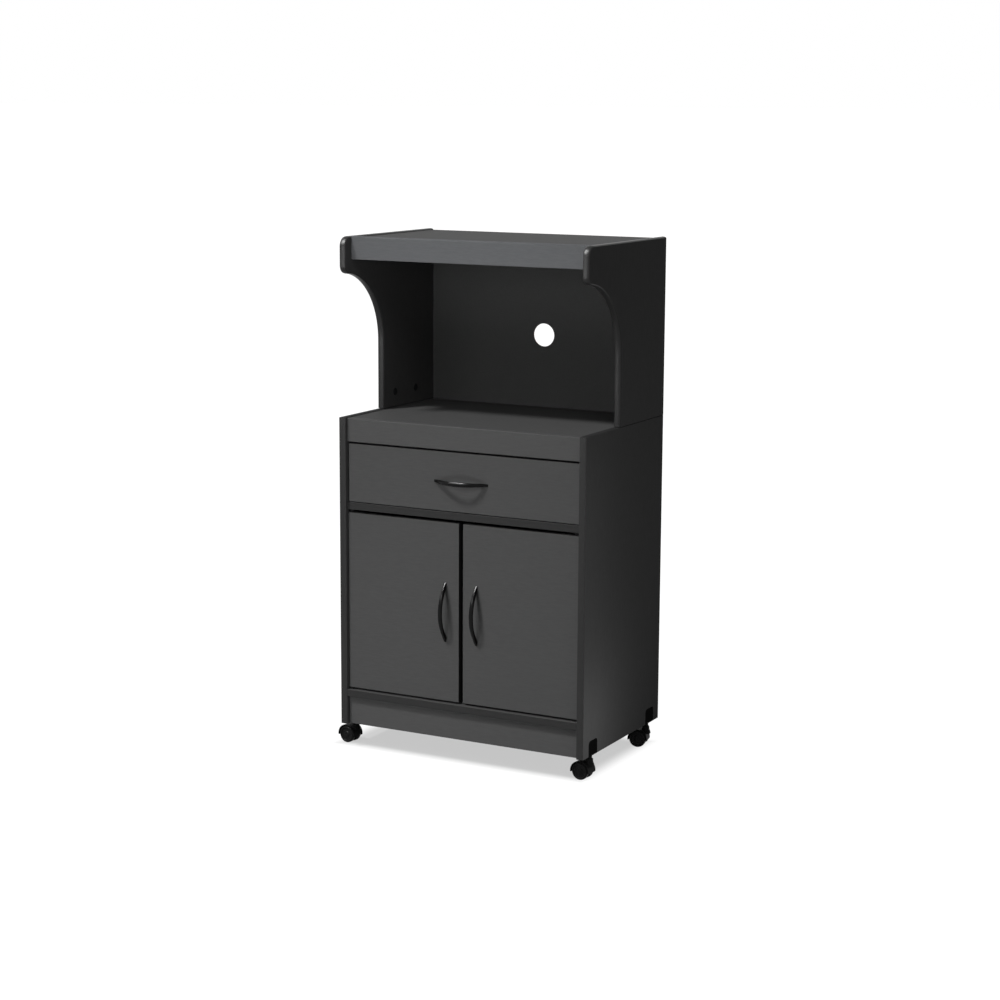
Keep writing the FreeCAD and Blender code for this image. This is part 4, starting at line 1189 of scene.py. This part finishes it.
@dataclass
class Caster:
    """A twin-wheel caster: hood, web, neck and collar over two wheels on one axle."""

    corner: str
    x: float
    y: float
    trail_degrees: float
    trail: float = 16.0
    wheel_radius: float = 19.0
    wheel_inner: float = 5.0
    wheel_outer: float = 15.3
    hood_radius: float = 22.4
    hood_inner: float = 20.4
    hood_half: float = 15.6
    hood_opening_z: float = 16.0
    web_half: float = 4.5
    web_opening_z: float = 12.0
    neck_radius: float = 8.0
    neck_top: float = 47.5
    collar_radius: float = 5.6
    collar_top: float = 53.5
    stem_radius: float = 4.05
    web_overlap: float = 0.6    # how far the web goes into the hood
    outer_steps: int = 60
    inner_steps: int = 56
    neck_steps: int = 40
    wheel_steps: int = 56

    @property
    def name(self) -> str:
        """The start of the names of the caster's pieces and bodies."""
        return f"caster_{self.corner}"

    def place(self) -> Matrix:
        """The matrix from the caster's own frame, wheels trailing along +X, to the cabinet's."""
        turn = Matrix.Rotation(math.radians(self.trail_degrees), 4, "Z")
        return Matrix.Translation(mm(self.x, self.y, 0.0)) @ turn

    def ring_outline(self, outer: float, inner: float, opening_z: float) -> list[Pair]:
        """The outline of a ring that is open below a level, or of a cut disc where inner is 0.

        Args:
            outer: The ring's outer radius.
            inner: Its inner radius.
            opening_z: The level of the opening.

        Returns:
            The outline's points in the wheel's plane.
        """
        centre = (self.trail, self.wheel_radius)
        dip = math.degrees(math.asin((opening_z - self.wheel_radius) / outer))
        line = arc(centre, outer, dip, 180 - dip, self.outer_steps)
        if inner:
            inner_dip = math.degrees(math.asin((opening_z - self.wheel_radius) / inner))
            line += arc(centre, inner, 180 - inner_dip, inner_dip, self.inner_steps)
        return line

    def build_hood(self) -> None:
        """Builds the hood, the web between the wheels, the neck and its collar."""
        bm = bmesh.new()
        ring = self.ring_outline(self.hood_radius, self.hood_inner, self.hood_opening_z)
        push_out(bm, ring, self.hood_half, self.place(), rim_round=0.7)
        web = self.ring_outline(self.hood_inner + self.web_overlap, 0.0, self.web_opening_z)
        push_out(bm, web, self.web_half, self.place(), rim_round=0.5)
        n, top = self.neck_radius, self.neck_top
        c, end = self.collar_radius, self.collar_top
        neck = [(n + 3.0, 31.0), (n + 2.6, 34.5), (n + 1.4, 37.6), (n + 0.5, 40.2), (n, 43.0),
                (n, top - 1.2), (n - 0.4, top - 0.4), (n - 1.2, top), (c + 0.3, top),
                (c, top + 0.3), (c, end - 0.5), (c - 0.5, end), (self.stem_radius, end)]
        turn_profile(bm, neck, self.neck_steps, self.place())
        settle(f"{self.name}_hood", bm, [TexturedNylon()], f"{self.name}_swivel",
               [f"{self.name}_housing"])

    def build_wheels(self) -> None:
        """Builds the two wheels with their rounded treads, dished faces and hub caps."""
        r, low, high = self.wheel_radius, self.wheel_inner, self.wheel_outer
        tread = [(r - 1.6, low), (r - 0.6, low + 0.35), (r - 0.12, low + 1.2), (r, low + 2.4),
                 (r, high - 3.2), (r - 0.25, high - 1.9), (r - 0.9, high - 0.8),
                 (r - 2.0, high - 0.1), (r - 3.2, high), (r - 4.1, high - 0.35),
                 (r - 4.6, high - 1.2), (r - 5.2, high - 2.2), (r - 6.2, high - 2.5)]
        hub = [(7.6, high - 2.5), (6.9, high - 2.2), (6.4, high - 1.4), (5.9, high - 0.85),
               (4.8, high - 0.6), (2.2, high - 0.45), (1.9, high - 0.75), (0.0, high - 0.8)]
        bm = bmesh.new()
        for way in (-1, 1):
            turn = Matrix.Rotation(math.radians(-90 * way), 4, "X")
            place = self.place() @ Matrix.Translation(mm(self.trail, 0.0, r)) @ turn
            turn_profile(bm, [(0.0, low)] + tread + hub, self.wheel_steps, place)
        settle(f"{self.name}_twin_wheels", bm, [WheelNylon()], f"{self.name}_wheel_pair",
               [f"{self.name}_wheels"])

    def build(self) -> None:
        """Builds the caster's moulded pieces and dresses its steel ones."""
        self.build_hood()
        self.build_wheels()
        dress([f"{self.name}_stem", f"{self.name}_axle"], PlatedSteel())


# Studio

def seen_directly(tree: Tree) -> Socket:
    """Makes a value that is 1 for camera, glossy and transmission rays and 0 for all others.

    Args:
        tree: The node tree that gets it.

    Returns:
        The value.
    """
    rays = add_node(tree, "ShaderNodeLightPath").outputs
    seen = rays["Is Camera Ray"]
    for ray in ("Is Glossy Ray", "Is Transmission Ray"):
        seen = add_node(tree, "ShaderNodeMath", {0: seen, 1: rays[ray]},
                        operation="MAXIMUM").outputs[0]
    return seen


@dataclass(frozen=True)
class WhiteFloor(Finish):
    """A matt floor with the cabinet's real and a painted shadow, white to the camera elsewhere."""

    name: ClassVar[str] = "matt_white_floor"
    colour: str = "5c5c5c"
    bounce: str = "6c6c6c"
    # the glow below the cabinet, which makes a painted shadow there
    near_glow: float = 0.545
    far_glow: float = 1.0
    # the box of the painted shadow: its middle, half sizes and fade, in millimetres
    shade_middle: Pair = (-6.0, 16.0)
    shade_half: Pair = (328.0, 199.0)
    shade_fade: Pair = (-54.0, 4.0)

    def surface(self, tree: Tree) -> Socket:
        """Builds the floor's nodes.

        Args:
            tree: The material's node tree.

        Returns:
            The shader's output.
        """
        bounced = add_node(tree, "ShaderNodeBsdfDiffuse", {"Color": linear(self.bounce)})
        seen = add_node(tree, "ShaderNodeBsdfDiffuse", {"Color": linear(self.colour)})
        glow = add_node(tree, "ShaderNodeEmission", {"Color": WHITE, "Strength": self.glow(tree)})
        bright = add_node(tree, "ShaderNodeAddShader", {0: seen.outputs[0], 1: glow.outputs[0]})
        return add_node(tree, "ShaderNodeMixShader", {
            0: seen_directly(tree), 1: bounced.outputs[0], 2: bright.outputs[0]}).outputs[0]

    def glow(self, tree: Tree) -> Socket:
        """The glow: dim below the cabinet, a painted shadow with the real one, full away from it.

        Args:
            tree: The floor material's node tree.

        Returns:
            The glow's strength.
        """
        spot = add_node(tree, "ShaderNodeTexCoord").outputs["Object"]
        for values, step in ((self.shade_middle, "SUBTRACT"), (None, "ABSOLUTE"),
                             (self.shade_half, "SUBTRACT")):
            inputs = {0: spot} if values is None else {0: spot, 1: (*mm(*values), 0.0)}
            spot = add_node(tree, "ShaderNodeVectorMath", inputs, operation=step).outputs[0]
        ways = add_node(tree, "ShaderNodeSeparateXYZ", {0: spot}).outputs
        out = add_node(tree, "ShaderNodeMath", {0: ways["X"], 1: ways["Y"]}, operation="MAXIMUM")
        low, high = mm(*self.shade_fade)
        faded = add_node(tree, "ShaderNodeMapRange", {
            "Value": out.outputs[0], "From Min": low, "From Max": high,
            "To Min": self.near_glow, "To Max": self.far_glow}, interpolation_type="SMOOTHSTEP")
        return faded.outputs["Result"]


@dataclass
class Studio:
    """The pale floor, the white surroundings and the soft lamps."""

    floor_half: float = 300.0   # in metres
    ambient: float = 0.068
    sun_distance: float = 4.0   # in metres

    def build(self) -> None:
        """Builds the floor, the world and the lamps."""
        self.build_floor()
        self.build_world()
        self.add_sun("key_lamp", azimuth=-30, elevation=57, strength=2.6, softness=8, glints=True)
        self.add_sun("front_lamp", azimuth=-20, elevation=8, strength=0.16, softness=20)
        self.add_sun("right_fill", azimuth=42, elevation=38, strength=0.3, softness=24)
        for name, place, aim, size, power in (
                ("hutch_lamp", (0, -1200, 1115), (16, -155, 1110), (400, 400), 4.6),
                ("low_lamp", (-250, -1100, 110), (-60, -176, 120), (500, 500), 5.7),
                ("side_lamp", (500, -190, 110), (316, -150, 110), (160, 160), 0.28),
                ("side_strip", (500, -215, 480), (316, -215, 480), (100, 500), 0.15),
                ("rear_lamp", (16, 1500, 1000), (16, 201, 600), (500, 500), 4.0),
                ("right_lamp", (1500, 100, 700), (316, 100, 700), (500, 900), 1.05)):
            self.add_panel(name, place, aim, size, power)
        for name, place, aim, size, power in (
                ("high_card", (-800, -1100, 2300), (-50, -184, 900), (1200, 1000), 290.0),
                ("hutch_card", (-480, -1150, 960), (0, -184, 1110), (1000, 300), 14.0)):
            self.add_panel(name, place, aim, size, power, card=True)

    def build_floor(self) -> None:
        """Lays the floor."""
        mesh = bpy.data.meshes.new("studio_floor")
        h = self.floor_half
        mesh.from_pydata([(-h, -h, 0), (h, -h, 0), (h, h, 0), (-h, h, 0)], [], [(0, 1, 2, 3)])
        mesh.materials.append(WhiteFloor().material())
        stand("studio_floor", mesh)

    def build_world(self) -> None:
        """Makes the surroundings white to the camera and in reflections, and dim elsewhere."""
        world = bpy.data.worlds.new("white_surroundings")
        bpy.context.scene.world = world
        world.use_nodes = True
        tree = world.node_tree
        tree.nodes.clear()
        even, white = (add_node(tree, "ShaderNodeBackground", {
            "Color": WHITE, "Strength": strength}).outputs[0] for strength in (self.ambient, 1.0))
        surface = add_node(tree, "ShaderNodeMixShader", {0: seen_directly(tree), 1: even, 2: white})
        add_node(tree, "ShaderNodeOutputWorld", {"Surface": surface.outputs[0]})

    @staticmethod
    def hang(lamp: bpy.types.Light, place: Vector, aim: Vector, lights: bool, glints: bool) -> None:
        """Hangs a lamp.

        Args:
            lamp: The lamp.
            place: Where it hangs, in metres.
            aim: The point that it faces.
            lights: Whether it lights surfaces.
            glints: Whether glossy surfaces show it.
        """
        holder = stand(lamp.name, lamp, facing(place - aim, place))
        holder.visible_camera = False
        holder.visible_diffuse = lights
        holder.visible_glossy = glints

    def add_sun(self, name: str, azimuth: float, elevation: float, strength: float,
                softness: float, glints: bool = False) -> None:
        """Adds a distant soft lamp.

        Args:
            name: The lamp's name.
            azimuth: Where it stands, in degrees from the front towards the right.
            elevation: Its height above the horizon in degrees.
            strength: Its strength.
            softness: Its apparent width in degrees.
            glints: Whether glossy surfaces show it.
        """
        lamp = bpy.data.lights.new(name, "SUN")
        lamp.energy = strength
        lamp.angle = math.radians(softness)
        a, e = math.radians(azimuth), math.radians(elevation)
        towards = Vector((math.sin(a) * math.cos(e), -math.cos(a) * math.cos(e), math.sin(e)))
        self.hang(lamp, towards * self.sun_distance, Vector(), lights=True, glints=glints)

    def add_panel(self, name: str, place: Triple, aim: Triple, size: Pair, power: float,
                  card: bool = False) -> None:
        """Adds a soft panel near the cabinet.

        Args:
            name: The lamp's name.
            place: Where its middle is, in millimetres.
            aim: The point that it faces.
            size: Its width and height in millimetres.
            power: Its power in watts.
            card: Whether it only shows in glossy surfaces; otherwise it only lights.
        """
        lamp = bpy.data.lights.new(name, "AREA")
        lamp.energy = power
        lamp.shape = "RECTANGLE"
        lamp.size, lamp.size_y = mm(*size)
        self.hang(lamp, mm(*place), mm(*aim), lights=not card, glints=card)


@dataclass
class Viewpoint:
    """The camera, standing where the photograph was taken from."""

    place: Triple = (2319.0, -4311.7, 1431.9)
    azimuth: float = 28.105
    elevation: float = 10.122
    roll: float = 0.286
    focal_pixels: float = 2253.4
    image_pixels: float = 1000.0
    sensor: float = 36.0

    def build(self) -> None:
        """Makes the camera and gives it to the scene."""
        data = bpy.data.cameras.new("photo_camera")
        data.sensor_width = self.sensor
        data.lens = self.focal_pixels / self.image_pixels * self.sensor
        data.clip_start, data.clip_end = 0.1, 1000.0
        place = Matrix.Translation(mm(*self.place))
        for degrees, axis in ((self.azimuth, "Z"), (90.0 - self.elevation, "X"), (self.roll, "Z")):
            place = place @ Matrix.Rotation(math.radians(degrees), 4, axis)
        bpy.context.scene.camera = stand("photo_camera", data, place)


def main() -> None:
    """Builds every sub-assembly in order."""
    logging.basicConfig(level=logging.INFO, format="%(name)s: %(message)s")
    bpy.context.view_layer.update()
    bpy.context.scene.view_settings.view_transform = "Standard"
    for assembly in (Viewpoint(), Studio(), Base(), Hutch(), Drawer(), Door(Side.LEFT),
                     Door(Side.RIGHT), Fixings(),
                     Caster("front_left", -276.0, -136.0, trail_degrees=172.0),
                     Caster("front_right", 308.0, -136.0, trail_degrees=176.0),
                     Caster("rear_left", -276.0, 153.0, trail_degrees=184.0),
                     Caster("rear_right", 308.0, 153.0, trail_degrees=192.0)):
        assembly.build()


if __name__ == "__main__":
    main()
